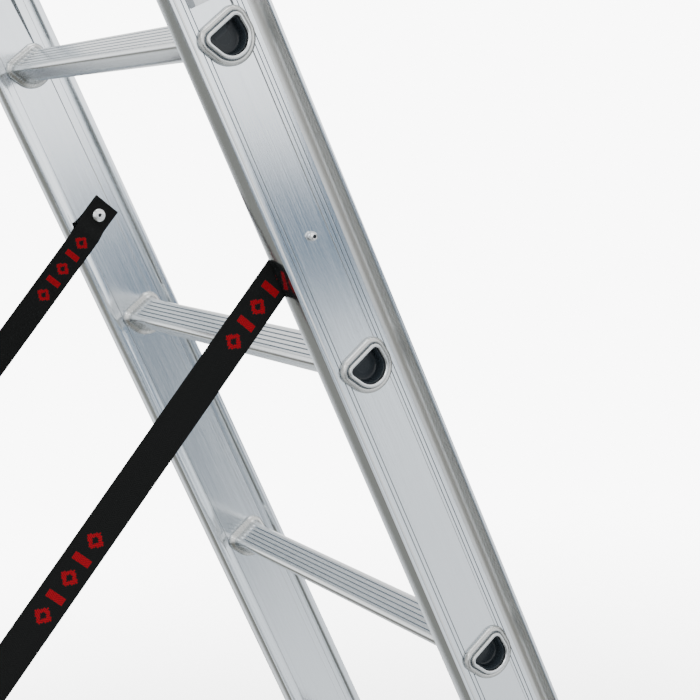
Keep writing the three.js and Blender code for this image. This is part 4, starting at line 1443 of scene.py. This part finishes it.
def buildStudio():
    world = bpy.context.scene.world or bpy.data.worlds.new("studio")
    bpy.context.scene.world = world
    world.use_nodes = True
    tree = world.node_tree
    for node in list(tree.nodes):
        tree.nodes.remove(node)
    facts = studioFacts
    direction = tree.nodes.new("ShaderNodeTexCoord").outputs["Generated"]
    split = tree.nodes.new("ShaderNodeSeparateXYZ")
    tree.links.new(direction, split.inputs[0])
    x, y, z = split.outputs[0], split.outputs[1], split.outputs[2]

    def step(value, start, stop):
        if start > stop:
            return spanned(tree, value, 1.0, 0.0, stop, start, True)
        return spanned(tree, value, 0.0, 1.0, start, stop, True)

    def both(first, second):
        return times(tree, first, second)

    stops = facts["room"]
    low, high = stops[0][0], stops[-1][0]
    position = spanned(tree, z, 0.0, 1.0, low, high)
    ramp = tree.nodes.new("ShaderNodeValToRGB")
    ramp.color_ramp.interpolation = "EASE"
    elements = ramp.color_ramp.elements
    elements[0].position, elements[1].position = 0.0, 1.0
    elements[0].color, elements[1].color = (*stops[0][1], 1), (*stops[-1][1], 1)
    for height, colour in stops[1:-1]:
        elements.new((height - low) / (high - low)).color = (*colour, 1)
    tree.links.new(position, ramp.inputs["Fac"])
    turnAngle = over(tree, y, mathNode(tree, "MAXIMUM", x, 0.05))
    plusX = step(x, 0.2, 0.5)
    h = facts["screenHeights"]
    screen = both(both(step(z, h[0], h[1]), step(z, h[3], h[2])), both(plusX, step(turnAngle, 0.2, 0.38)))
    h = facts["lowHeights"]
    lowScreen = both(step(z, h[0], h[1]), step(z, h[3], h[2]))
    lowScreen = both(lowScreen, both(plusX, step(turnAngle, facts["lowTurn"][0], facts["lowTurn"][1])))
    front = both(step(y, -0.02, -0.22), step(z, -0.06, -0.20))
    colour = mixColour(tree, screen, ramp.outputs["Color"], facts["screen"])
    colour = mixColour(tree, lowScreen, colour, facts["lowScreen"])
    colour = mixColour(tree, front, colour, facts["front"])
    seen = tree.nodes.new("ShaderNodeBackground")
    seen.inputs["Color"].default_value = (1, 1, 1, 1)
    seen.inputs["Strength"].default_value = facts["backdrop"]
    lighting = tree.nodes.new("ShaderNodeBackground")
    lighting.inputs["Strength"].default_value = 1.0
    tree.links.new(colour, lighting.inputs["Color"])
    rays = tree.nodes.new("ShaderNodeLightPath")
    mix = tree.nodes.new("ShaderNodeMixShader")
    tree.links.new(rays.outputs["Is Camera Ray"], mix.inputs[0])
    tree.links.new(lighting.outputs[0], mix.inputs[1])
    tree.links.new(seen.outputs[0], mix.inputs[2])
    output = tree.nodes.new("ShaderNodeOutputWorld")
    tree.links.new(mix.outputs[0], output.inputs["Surface"])


buildStudio()


def areaLight(name, location, target, size, power, colour=(1, 1, 1)):
    data = bpy.data.lights.new(name, "AREA")
    data.shape = "RECTANGLE"
    data.size, data.size_y = size
    data.energy = power
    data.color = colour
    lamp = bpy.data.objects.new(name, data)
    lamp.location = location
    lamp.rotation_euler = (Vector(target) - Vector(location)).to_track_quat("-Z", "Y").to_euler()
    bpy.context.scene.collection.objects.link(lamp)


areaLight("keyLight", (1.8, -2.6, 3.2), (0.2, 0.3, 1.0), (1.6, 1.2), 45)
areaLight("topLight", (0.2, 0.2, 4.2), (0, 0, 1.0), (2.4, 2.0), 50)
print("studio ready")
